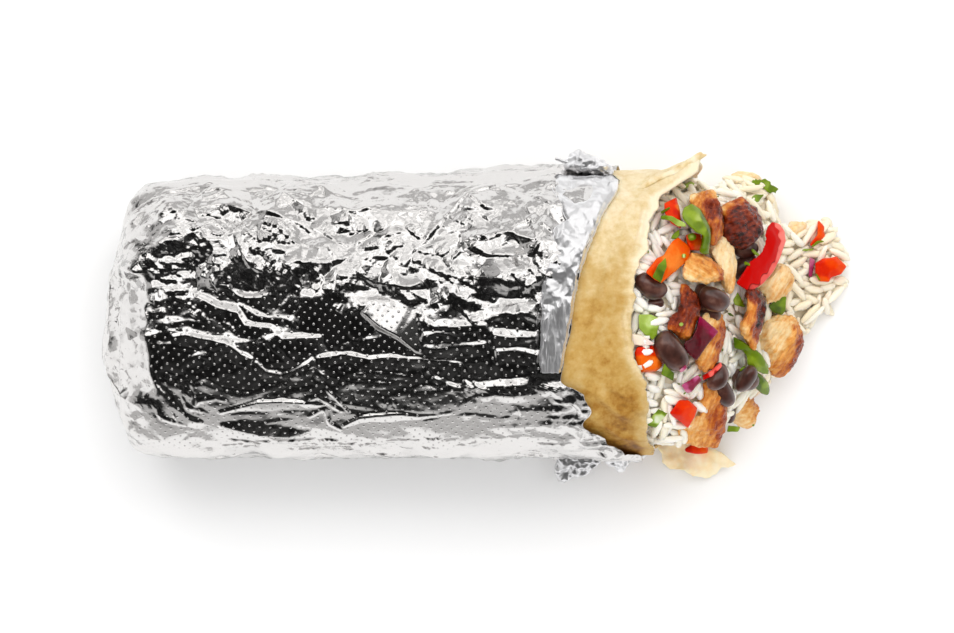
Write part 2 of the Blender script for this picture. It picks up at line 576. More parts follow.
# Sharp folds, run in +x: camera points, height, and the width in mm of the slope on the +Y side and of the one on
# the -Y side, each one number or several spread along the fold
RIDGES = (
    (((361.3, 309.9), (379.3, 326.3), (398.8, 336.8), (415.2, 350.3), (428.7, 354.2)), (0.95, 1.5, 1.75, 1, 0.2), (5.4, 8, 9.2, 5, 0.4), 0.9),
    (((161.9, 290.4), (161.3, 303.9), (164.3, 318.8), (169.7, 334.4)), 0.75, 1, 3.12),
    (((169.7, 334.4), (200.9, 336.2), (224.9, 339.8), (239.9, 351.2), (254.3, 358.4)), (0.5, 0.75, 0.75, 0.6, 0.5), (0.8, 1.5, 1.3, 1, 0.8), 3.12),
    (((254.3, 358.4), (265.4, 369.8), (281.8, 374.3), (293.8, 369.8), (308.8, 360.8), (313.3, 356.3)), (0.5, 0.55, 0.4, 0.5, 0.3), (0.8, 1, 1.3, 0.9, 0.6), 2.29),
    (((190.4, 288.9), (215.9, 303.9), (236.9, 309.9), (243.5, 321.8), (269.9, 324.8), (281.8, 336.8), (323.8, 336.8)), (0.4, 0.8, 0.9, 0.6, 0.5, 0.6, 0.4), (1, 1.8, 2.2, 1, 1.3, 1, 0.8), 3.75),
    (((236.9, 300.9), (257.9, 313.5), (281.8, 316.5), (299.8, 321.8)), (0.3, 0.45, 0.4, 0.2), (1, 2.6, 2.4, 1.2), 1.88),
    (((170.9, 309.9), (179.9, 297.9), (193.4, 293.4), (209.9, 296.7)), 0.35, 1.6, 1.46),
    (((313.3, 357.8), (344.8, 353.3), (368.8, 358.4), (389.8, 356.9), (422.7, 360.2), (443.7, 362.3), (467.7, 366.8)), (0.4, 0.6, 0.45, 0.55, 0.5, 0.4, 0.4), (0.8, 1.1, 0.8, 0.9, 1, 0.7, 0.8), 2.5),
    (((425.7, 306.9), (443.7, 297.9), (461.7, 300.9), (479.7, 312.9)), 0.45, 0.9, 1.88),
    (((424.2, 321.8), (434.7, 327.8), (458.7, 329.3), (488.7, 326.3)), (0.3, 0.6, 0.5, 0.3), (1, 2, 1.4, 1), 2.5),
    (((419.7, 336.8), (437.7, 333.8), (455.7, 336.8), (479.7, 333.8)), (0.4, 0.65, 0.4, 0.3), (1, 1.8, 1.2, 0.8), 2.71),
    (((421.2, 347.3), (440.7, 350.3), (458.7, 347.3), (488.7, 345.8)), (0.5, 0.7, 0.5, 0.4), (1.2, 2.2, 1.4, 1), 2.92),
    (((476.7, 309.9), (494.7, 313.5), (515.7, 317.4), (539.6, 321.8)), (0.5, 0.9, 1, 0.7), (2, 3.6, 4, 3), 4.17),
    (((491.7, 336.8), (509.7, 339.8), (538.1, 341.3)), (0.5, 0.8, 0.7), (1.4, 2.8, 2.2), 3.33),
    (((494.7, 353.3), (515.7, 352.4), (539.6, 358.4)), (0.5, 0.75, 0.7), (1, 1.6, 1.4), 3.12),
    (((457.2, 321.8), (460.2, 339.8), (457.2, 351.8)), 0.45, 0.6, 1.88),
    (((490.2, 309.9), (492.3, 339.8), (488.7, 353.3)), 0.5, 0.6, 2.08),
    (((422.7, 306.9), (419.7, 321.8), (421.5, 339.8)), 0.4, 0.6, 1.67),
    (((515.7, 315.9), (518.7, 339.8), (515.7, 352.4)), 0.4, 0.5, 1.67),
    (((164.9, 369.8), (173.9, 381.8), (188.9, 393.8), (194.9, 408.8)), 0.6, 1.2, 2.5),
    (((188.9, 384.8), (203.9, 381.8), (221.9, 389.3), (239.9, 393.8), (257.9, 390.8), (275.9, 384.8), (284.8, 378.8)), (0.4, 0.6, 0.4, 0.6, 0.4, 0.5, 0.3), (0.9, 1.6, 0.9, 1.5, 1, 1.2, 0.6), 2.5),
    (((239.9, 393.8), (269.9, 395), (299.8, 390.2), (320.8, 384.8)), 0.45, 1.5, 1.88),
    (((281.8, 381.8), (299.8, 369.8), (313.3, 366.8), (329.8, 378.8)), 0.5, 0.9, 2.08),
    (((329.8, 384.8), (359.8, 381.8), (389.8, 384.2), (407.7, 381.8)), 0.45, 1.2, 1.88),
    (((344.8, 374.3), (374.8, 372.2), (404.7, 376.4), (422.7, 371.6)), 0.42, 0.9, 1.75),
    (((323.8, 384.8), (338.8, 399.8), (353.8, 417.8)), 0.55, 0.7, 0.7),
    (((299.8, 401.3), (317.8, 395.3), (341.8, 410.3), (359.8, 414.8)), 0.6, 1, 1),
    (((424.2, 363.8), (434.7, 378.8), (449.7, 384.8), (461.7, 388.4)), 0.55, 0.8, 2.29),
    (((461.7, 377.6), (472.2, 388.4), (476.7, 396.8)), 0.5, 0.7, 2.08),
    (((467.7, 378.8), (479.7, 387.8), (494.7, 393.8), (521.7, 393.8), (539.6, 387.8)), 0.55, 0.9, 2.29),
    (((150, 369.8), (156.5, 384.8), (168.5, 399.8), (188.9, 417.8), (215.9, 426.8)), 0.7, 1, 2.92),
    (((164.9, 387.8), (170.9, 405.8), (179.9, 426.8)), 0.6, 0.7, 0.7),
    (((151.5, 399.8), (161.9, 417.8), (188.9, 425.3)), 0.6, 0.9, 0.9),
    (((179.9, 390.8), (186.5, 405.8), (209.9, 413.3)), 0.55, 1.2, 0.8),
    (((188.9, 411.8), (197.9, 399.8), (215.9, 396.8), (230.9, 399.8)), 0.5, 1.2, 0.8),
    (((215.9, 411.8), (233.9, 406.4), (257.9, 399.8), (281.8, 399.2), (299.8, 401.3), (326.8, 403.4)), (0.4, 0.8, 1.2, 1.2, 0.8, 0.4), 0.8, (0.6, 2, 3.8, 3.6, 2.2, 0.8)),
    (((217.4, 425.3), (245.9, 429.8), (275.9, 434.3), (299.8, 435.2), (311.8, 431.3)), (0.4, 1.3, 1.4, 1.2, 0.4), (1, 3.8, 4, 3.4, 1), 0.6),
    (((340.3, 426.8), (359.8, 416.3), (377.8, 414.2), (401.8, 413.3), (434.7, 414.2), (452.7, 411.8)), (0.4, 0.8, 1, 0.8, 0.5, 0.3), 0.8, (0.6, 2, 3, 2.2, 1.4, 0.6)),
    (((455.7, 408.8), (473.7, 396.8), (497.7, 393.8), (521.7, 395.3), (539.6, 390.8)), 0.6, 0.9, 2.5),
    (((305.8, 417.8), (323.8, 408.8), (329.8, 423.8), (344.8, 429.8)), 0.6, 1, 0.8),
    (((197.9, 200.4), (218.9, 200.4), (239.9, 205.5), (281.8, 212.4), (299.8, 219.9), (317.8, 233.4)), (0.37, 0.62, 0.56, 0.62, 0.5, 0.25), 3.65, 0.62),
    (((129, 233.4), (150, 234.9), (161.9, 241.5), (188.9, 245.4), (209.9, 249.9), (221.9, 258.9), (230.9, 270.9), (257.9, 285.9), (269.9, 293.4)), 0.56, 3.28, 0.56),
    (((161.3, 275.4), (168.5, 258.9), (170.3, 249.9)), 0.62, 3.65, 0.62),
    (((175.4, 273.9), (179.9, 258.9), (183.5, 251.4)), 0.62, 3.65, 0.62),
    (((188.9, 270.9), (193.4, 260.4), (203.9, 255.9)), 0.43, 2.55, 0.45),
    (((233.9, 228.9), (239.9, 246.9), (248.9, 261.9), (269.9, 273.9), (277.4, 279.9)), 0.59, 3.46, 0.59),
    (((236.9, 249.9), (257.9, 245.4), (284.8, 248.4), (296.8, 243.9)), 0.43, 2.55, 0.45),
    (((296.8, 219.9), (323.8, 228.9), (353.8, 245.4)), 0.5, 2.92, 0.5),
    (((275.9, 293.4), (273.5, 282.9), (281.8, 275.4)), 0.5, 2.92, 0.5),
    (((296.8, 291.9), (301.3, 279.9), (299.2, 269.4)), 0.5, 2.92, 0.5),
    (((313.3, 293.4), (322.3, 276.9), (310.3, 260.4)), 0.56, 3.28, 0.56),
    (((329.8, 293.4), (333.4, 273.9), (338.8, 261.9)), 0.56, 3.28, 0.56),
    (((341.8, 297.9), (344.8, 279.9), (353.8, 264.9)), 0.43, 2.55, 0.45),
    (((353.8, 264.9), (359.8, 273.9), (374.8, 282.9), (404.7, 287.4), (422.7, 284.4)), (0.37, 0.68, 0.74, 0.62, 0.37), 4.38, 0.74),
    (((353.8, 252.9), (356.8, 240.9), (368.8, 233.4), (389.8, 225.9)), 0.5, 2.92, 0.5),
    (((404.7, 281.4), (406.2, 264.9), (413.7, 249.9), (425.7, 241.5)), 0.59, 3.46, 0.59),
    (((413.7, 249.9), (425.7, 240.9), (434.7, 228.9), (449.7, 212.4), (467.7, 199.5), (491.7, 191.5), (521.7, 184)), (0.31, 0.62, 0.74, 0.81, 0.74, 0.56, 0.31), 4.74, 0.81),
    (((470.7, 249.9), (488.7, 258.9), (509.7, 260.4), (536.6, 258.3)), (0.37, 0.68, 0.68, 0.43), 4.01, 0.68),
    (((437.7, 279.9), (449.7, 291.9), (467.7, 303.9), (488.7, 311.4)), 0.8, 2.5, 3.33),
    (((446.7, 270.9), (452.7, 258.9), (461.7, 251.4)), 0.5, 2.92, 0.5),
    (((518.7, 200.4), (530, 219.9), (534.2, 237.9), (537.2, 246.9)), 0.62, 3.65, 0.62),
    (((479.7, 216.9), (494.7, 228.9), (505.2, 235.5)), 0.5, 2.92, 0.5),
    (((368.8, 233.4), (389.8, 234.9), (407.7, 230.4)), 0.37, 2.4, 0.45),
    (((491.7, 285.9), (509.7, 291.9), (524.7, 288.9)), 0.43, 2.55, 0.45),
    (((509.7, 273.9), (518.7, 285.9), (521.7, 297.9)), 0.43, 2.55, 0.45),
    (((383.8, 255.9), (392.8, 246.9), (407.7, 243.9)), 0.37, 2.4, 0.45),
    (((284.8, 261.9), (299.8, 258.9), (317.8, 264.9)), 0.43, 2.55, 0.45),
    (((206.9, 270.9), (215.9, 285.9), (221.9, 297.9)), 0.5, 2.92, 0.5),
    (((353.8, 210.9), (377.8, 206.4), (401.8, 208.5)), 0.37, 2.4, 0.45),
    (((296.8, 187), (329.8, 189.1), (368.8, 194.4)), 0.34, 2.4, 0.45),
    (((329.8, 175.6), (374.8, 178), (419.7, 179.8)), 0.31, 2.4, 0.45),
    (((455.7, 174.4), (488.7, 175), (524.7, 182.8)), 0.31, 2.4, 0.45),
    (((230.9, 191.5), (245.9, 198.3), (257.9, 199.5)), 0.31, 2.4, 0.45),
    (((150, 200.4), (167.9, 194.4), (188.9, 190)), 0.31, 2.4, 0.45),
    (((138, 216.9), (150, 206.4), (167.9, 208.5), (185.9, 204.9)), 0.37, 2.4, 0.45),
)
# Broad swells under those, in the same terms
SWELLS = (
    (((410, 262), (450, 276), (500, 284), (548, 292)), (0.4, 1.1, 1.3, 1.1), (8, 12, 13, 12), (3, 4, 4, 4)),
    (((370, 398), (420, 392), (480, 388), (548, 384)), (0.3, 0.9, 1.1, 1.0), (1.5, 1.8, 1.8, 1.8), (5, 8, 9, 9)),
)
# Knots where the foil is crushed small: camera point, radius and strength
KNOTS = ((162, 248, 4.6, 1.5), (152, 232, 3.0, 1.0), (198, 412, 3.4, 0.8), (466, 384, 4.6, 0.9), (560, 400, 5.0, 1.4),
         (480, 405, 5.0, 1.1), (520, 412, 4.0, 1.1), (305, 405, 4.0, 0.6), (530, 225, 6.0, 0.9), (320, 190, 5.0, 0.6),
         (385, 300, 3.0, 0.5), (425, 345, 4.0, 0.5), (545, 300, 3.5, 0.9))


def creases():
    """Rasters of creases, in mm: the upper side's, the flatter side's, fine ones, and the sharp folds."""
    upper = SHEET.facets(21, 7.2, 5.6) * 1.35 + SHEET.facets(22, 4.2, 3.6) * 0.40
    flat = SHEET.facets(24, 15.0, 5.5) * 0.60 + SHEET.facets(25, 7.0, 2.4) * 0.20 + SHEET.facets(26, 2.4, 1.5) * 0.05
    fine = SHEET.facets(27, 2.4, 2.3) * 0.34 + SHEET.facets(28, 1.2, 1.15) * 0.13
    rng = np.random.default_rng(5)
    ridge = np.zeros((SHEET.NX, SHEET.NU), np.float32)
    clear = np.zeros_like(ridge)            # where a broad fold is smooth
    todo = [([at(*q) for q in path], h, a, b) for path, h, a, b in RIDGES]
    # smaller folds: along the flatter side, along both flanks, and short ones over the upper side
    for k in range(290):
        where = min(k // 50, 3)
        x = rng.uniform(-88, 24)
        u = (rng.uniform(-2, 33), rng.uniform(34, 57), rng.uniform(-57, -35), rng.uniform(-36, 2))[where]
        length = (rng.uniform(5, 20), rng.uniform(4, 17), rng.uniform(4, 17), rng.uniform(2.5, 8.0))[where]
        lean = rng.uniform(-0.25, 0.25) if where < 3 else rng.uniform(-0.3, 1.1)
        path = [(x, u), (x + length / 2, u + lean * length / 2 + rng.uniform(-0.8, 0.8)), (x + length, u + lean * length)]
        high = (rng.uniform(0.10, 0.36), rng.uniform(0.25, 0.60), rng.uniform(0.25, 0.60), rng.uniform(0.28, 0.60))[where]
        wide = ((rng.uniform(0.45, 1.6), rng.uniform(1.2, 2.2)), (0.42, rng.uniform(0.8, 1.8)), (rng.uniform(0.8, 1.8), 0.42),
                (high / 0.17, rng.uniform(0.4, 0.6)))[where]
        todo.append((path, high, *wide))
    # and many short steep ones near the closed end, on the +Y side
    for k in range(46):
        x, u = rng.uniform(-88, -52), rng.uniform(-31, -12)
        length, lean = rng.uniform(2.0, 7.0), rng.uniform(-0.9, 1.0)
        high = rng.uniform(0.35, 0.75)
        todo.append(([(x, u), (x + length / 2, u + lean * length / 2 + rng.uniform(-0.6, 0.6)), (x + length, u + lean * length)],
                     high, high / 0.25, rng.uniform(0.45, 0.8)))
    spread = lambda v, t: np.interp(t, np.linspace(0, 1, len(v)), v) if isinstance(v, tuple) else v
    for path, h, a, b in todo:
        box, d, side, t = path_distance(bent(path, rng), max(np.max(a), np.max(b)) + 0.3)
        taper = np.clip(np.minimum(t, 1 - t) * 5, 0, 1)
        if isinstance(h, tuple):
            high = spread(h, t) * np.clip(np.minimum(t, 1 - t) * 30, 0, 1)
        else:
            high = h * taper * (0.75 + 0.25 * np.sin(t * 23 + h * 40))
        wide = spread(a, t) if isinstance(a, tuple) else a * (0.35 + 0.65 * np.sin(np.pi * np.clip(t, 0, 1)))
        width = np.where(side < 0, wide, spread(b, t))
        if np.max(a) > 8 or (isinstance(b, tuple) and max(b) > 2.9):
            clear[box] = np.maximum(clear[box], taper * smooth(-0.02, 0.12, 1 - d / width))
        ridge[box] = np.maximum(ridge[box], high * np.clip(1 - d / width, 0, 1))
    for path, h, a, b in SWELLS:
        box, d, side, t = path_distance([at(*q) for q in path], max(max(a), max(b)) + 0.3)
        width = np.where(side < 0, spread(a, t), spread(b, t))
        ridge[box] += spread(h, t) * np.clip(np.minimum(t, 1 - t) * 6, 0, 1) * np.clip(1 - d / width, 0, 1)
    for px, py, radius, strength in KNOTS:
        x, u = at(px, py)
        r = np.hypot(SHEET.x[:, None] - x, SHEET.u[None] - u)
        ridge += fine * strength * np.clip(1.25 - r / radius, 0, 1)
    return upper, flat, fine, ridge, clear


CREASE_UPPER, CREASE_FLAT, CREASE_FINE, CREASE_RIDGE, CREASE_CLEAR = creases()


def zone(x, u):
    """How far a point lies in the flatter zone over the top, 0 to 1."""
    p = np.stack([x, u, np.zeros_like(x)], -1).reshape(-1, 3)
    edge = -7.0 + 3.4 * noise(p, 12.0, 6).reshape(x.shape) + 8.0 * smooth(-45, 0, x)
    return smooth(-1.2, 1.2, u - edge) * (1 - 0.6 * smooth(33, 42, u))


def foil_height(x, u):
    """Creases of the foil over its smooth roll, mm. u grows from the top towards the -Y side."""
    p = np.stack([x, u, np.zeros_like(x)], -1).reshape(-1, 3)
    shape = x.shape
    wx = (noise(p, 9.0, 1) * 0.55).reshape(shape)
    wu = (noise(p, 9.0, 3) * 0.55).reshape(shape)
    xs, us = x + wx, u + wu
    flat = zone(x, u)
    calm = 1 - 0.45 * smooth(-38, -44, u) * (1 - smooth(46, 54, np.abs(u)))
    clear = 1 - 0.92 * SHEET.sample(CREASE_CLEAR, x, u)
    h = (1 - flat) * calm * SHEET.sample(CREASE_UPPER, xs, us) + flat * SHEET.sample(CREASE_FLAT, xs, us)
    h = h * clear + SHEET.sample(CREASE_RIDGE, x + 0.3 * wx, u + 0.3 * wu)
    return h


def cap_height(y, z):
    """Creases and tucked folds of the closed end, over (y, z)."""
    p = np.stack([y, z, np.zeros_like(y)], -1).reshape(-1, 3)
    shape = y.shape
    ws = (noise(p, 9.0, 11) * 1.2).reshape(shape), (noise(p, 9.0, 12) * 1.2).reshape(shape)
    ys, zs = y + ws[0], z + ws[1]
    h = SHEET.sample(CREASE_UPPER, ys * 1.0 - 60, zs - 30) * 0.45 + 0.5 * SHEET.sample(CREASE_FINE, ys, zs)
    # flaps folded over one another, as on a parcel
    for a, b, c, step in ((0.55, 0.83, 20.0, 0.9), (-0.62, 0.78, 27.0, 0.8), (0.98, 0.15, -9.0, 0.55), (-0.9, 0.42, 4.0, 0.5)):
        d = a * ys + b * zs - c
        h += step * smooth(-0.35, 0.35, d) * smooth(30, 4, d)
    return h - 2.3


def make_foil():
    # columns: fine over the top, coarse underneath
    fine = np.linspace(-51, 51, 276)                       # arc length, +Y side first
    girth = SECTION_ARC.max() - SECTION_ARC.min()
    coarse = np.linspace(51, girth - 51, 130)[1:-1]
    arc = np.concatenate([fine, coarse])
    arc = np.where(arc > girth / 2, arc - girth, arc)
    low = SECTION_ARC.min()
    phi = np.interp((arc - low) % girth + low, SECTION_ARC, _phi)
    rim = ring_value(FOIL_RIM, np.degrees(phi))
    ring = np.linspace(0.012, 0.80, 46)
    cap_rows = np.concatenate([np.arcsin(ring ** (3.1 / 2)) * 2 / math.pi, np.linspace(0.505, 1, 44)])
    run_rows = np.linspace(1, 2, 352)[1:]
    s = np.concatenate([cap_rows, run_rows])
    S, PHI = np.meshgrid(s, phi, indexing="ij")
    RIM = np.broadcast_to(rim, S.shape)
    ARC = np.broadcast_to(arc, S.shape)
    p = roll_surface(S, PHI, 0.0, RIM)
    # a sharp edge where the flat top folds down to the closed end
    edge = np.interp(p[..., 1], (-31, -28, -25, -21, -14, -5, 10, 13, 22, 30), (-91, -85, -80.5, -81, -83.6, -84.0, -84.2, -86.5, -90.5, -93))
    edge = edge + 0.5 * noise(np.stack([p[..., 1], 0 * p[..., 1], 0 * p[..., 1]], -1).reshape(-1, 3), 4.0, 29).reshape(p.shape[:2])
    over = np.maximum(edge - p[..., 0], 0)
    roof = np.interp(p[..., 1], SECTION_Y[_top][::-1], SECTION_Z[_top][::-1]) - 0.4
    slope = 1.04 + 0.10 * np.sin(p[..., 1] / 3.1) - 0.70 * smooth(-13, -25, p[..., 1])
    lower = np.minimum(p[..., 2], np.maximum(roof - over * slope, 30.0))
    reach_ = smooth(0.30, 0.62, np.sin(PHI)) * (over > 0)
    p[..., 2] = p[..., 2] + (lower - p[..., 2]) * reach_
    n = grid_normals(p)
    if (n * (p - np.array([0, 0.5, 29.0])))[len(s) // 2].sum() < 0:
        n = -n
    side = foil_height(p[..., 0], ARC)
    cap = cap_height(p[..., 1], p[..., 2])
    to_cap = smooth(-90, -96, p[..., 0])
    h = side * (1 - to_cap) + cap * to_cap
    h -= 0.5 * smooth(44, 52, np.abs(ARC)) * smooth(8, 24, RIM - p[..., 0])
    h *= smooth(-1.0, -0.93, np.sin(PHI))
    # the free edge along the -Y side crinkles and lifts off the tortilla
    from_rim = RIM - p[..., 0]
    deg = np.degrees(PHI) % 360
    free = smooth(17, 0, from_rim) * smooth(112, 118, deg) * (1 - smooth(235, 262, deg))
    q = np.stack([p[..., 0], ARC, np.zeros_like(ARC)], -1)
    crinkle = SHEET.sample(CREASE_FINE, p[..., 0], ARC)
    h += free * (0.45 + 1.9 * crinkle + 0.7 * noise(q.reshape(-1, 3), 6.5, 21).reshape(h.shape))
    p = p + n * h[..., None]
    p[..., 2] = np.maximum(p[..., 2], 0.0)
    # the edge turns in under itself, so that the sheet has a thickness there
    back = []
    for k, (away, inset) in enumerate(((0.10, 0.22), (1.2, 0.32), (5.0, 0.38))):
        row = p[-1 - (0, 3, 13)[k]].copy() - grid_normals(p)[-1 - (0, 3, 13)[k]] * 0
        normal = n[-1 - (0, 3, 13)[k]]
        back.append(row - normal * inset)
    p = np.concatenate([p, np.array(back)], 0)
    ARC = np.concatenate([ARC, np.repeat(ARC[-1:], 3, 0)], 0)
    normals = grid_normals(p)
    mid = len(s) // 2
    if (normals[mid] * n[mid]).sum() < 0:
        normals = -normals
    sheet = np.stack([p[..., 0], ARC, np.zeros_like(ARC)], -1)
    end = np.concatenate([S, S[-3:]], 0) < 0.55
    sheet[end] = np.stack([p[..., 2], p[..., 1], np.zeros_like(ARC)], -1)[end]
    # how crushed the sheet is on the small scale
    flat = zone(p[..., 0], ARC)
    q = sheet.reshape(-1, 3)
    crush = 1.0 - 0.80 * flat - 0.35 * smooth(-36, -44, ARC) + 0.35 * noise(q, 7.0, 25).reshape(ARC.shape)
    crush = np.maximum(crush, 0.10) + 0.8 * smooth(14, 0, np.concatenate([from_rim, from_rim[-3:] * 0], 0)) * smooth(112, 118, np.degrees(np.arctan2(p[..., 2] - 29, p[..., 1])) % 360)
    crush = crush * (1 - 0.8 * SHEET.sample(CREASE_CLEAR, p[..., 0], ARC))
    # more so over the closed end and down the flanks
    ended = smooth(0.2, 1.4, np.concatenate([over, over[-3:]], 0)) + smooth(-91, -94, p[..., 0])
    crush = np.maximum(crush, 0.85 * np.clip(ended, 0, 1))
    crush = np.maximum(crush, 0.85 * smooth(40, 50, np.abs(ARC)))
    k, c = len(cap_rows), len(fine)
    made = foil_material()
    wrap = np.concatenate([np.arange(c - 1, len(arc)), [0]])
    pieces = (
        ("foil_wrap_top", slice(k - 1, None), np.arange(c), None),
        ("foil_wrap_under", slice(k - 1, None), wrap, None),
        ("foil_wrap_end", slice(0, k), None, p[0].mean(0)),
    )
    for name, rows, cols, pole in pieces:
        part = p[rows] if cols is None else p[rows][:, cols]
        vec = sheet[rows] if cols is None else sheet[rows][:, cols]
        amount = crush[rows] if cols is None else crush[rows][:, cols]
        nor = normals[rows] if cols is None else normals[rows][:, cols]
        nor = nor.reshape(-1, 3)
        if pole is not None:
            nor = np.vstack([nor, [[-1, 0, 0]]])
        ob = grid_mesh(name, part, closed=cols is None, pole=pole, attributes={"sheet": vec.reshape(-1, 3), "crush": amount.reshape(-1)})
        set_normals(ob, nor)
        give(ob, made)
        show(ob, "foil", *(["foil_wrap"] if name == "foil_wrap_top" else []))


def set_normals(ob, normals):
    """Keeps shading continuous where pieces of one sheet meet. The faces are turned to agree with it."""
    mesh = ob.data
    face = np.zeros(len(mesh.polygons) * 3, np.float32)
    mesh.polygons.foreach_get("normal", face)
    first = np.zeros(len(mesh.polygons), np.int32)
    mesh.polygons.foreach_get("loop_start", first)
    verts = np.zeros(len(mesh.loops), np.int32)
    mesh.loops.foreach_get("vertex_index", verts)
    if (face.reshape(-1, 3) * normals[verts[first]]).sum() < 0:
        mesh.flip_normals()
    mesh.normals_split_custom_set_from_vertices(normals.astype(np.float32).tolist())


make_foil()


# ---------------------------------------------------------------- food: where the filling lies

# The heap of rice outside the mouth, as in the CAD model: x, middle y, half width, top height, underside
HEAP = np.array(((30, 1.0, 34.0, 56.5, 4.4), (42, 1.0, 34.0, 55.5, 4.4), (50, 1.0, 34.0, 51.0, 4.4),
                 (58, 1.5, 33.5, 44.0, 4.4), (64, 3.0, 32.5, 37.0, 4.2), (70, 5.5, 30.5, 29.0, 0.8),
                 (76, 8.0, 27.0, 21.5, 0.5), (82, 10.5, 22.0, 14.5, 0.5), (88, 13.0, 15.5, 9.0, 0.5),
                 (94, 13.5, 10.5, 6.0, 0.5), (98.6, 13.0, 7.0, 3.6, 0.5)))
HEAP_POWER = 2.2


def heap_at(x):
    return [np.interp(x, HEAP[:, 0], HEAP[:, k]) for k in (1, 2, 3, 4)]


def heap_z(x, y):
    middle, half, top, low = heap_at(x)
    u = np.clip(np.abs(y - middle) / half, 0, 0.98)
    return (top + low) / 2 + (top - low) / 2 * (1 - u ** HEAP_POWER) ** (1 / HEAP_POWER)


def heap_point(x, phi):
    middle, half, top, low = heap_at(x)
    e = 2 / HEAP_POWER
    return np.stack([x, middle + half * power(np.cos(phi), e),
                     (top + low) / 2 + (top - low) / 2 * power(np.sin(phi), e)], -1)


def heap_normal(x, phi):
    a = heap_point(x + 0.8, phi) - heap_point(x - 0.8, phi)
    b = heap_point(x, phi + 0.03) - heap_point(x, phi - 0.03)
    n = np.cross(a, b)
    n /= np.maximum(np.linalg.norm(n, axis=-1, keepdims=True), 1e-9)
    return n


def plan(points, z):
    """Camera points to (x, y) in mm at height z."""
    q = np.array(points, float)
    k = PX * (CAM_Z - z)
    return np.stack([(q[:, 0] - 477) * k, (316.5 - q[:, 1]) * k], -1)


def linear(r, g, b):
    """A colour as seen, 0 to 255, to a linear one."""
    c = np.array([r, g, b]) / 255.0
    return tuple(float(v) for v in np.where(c <= 0.04045, c / 12.92, ((c + 0.055) / 1.055) ** 2.4))


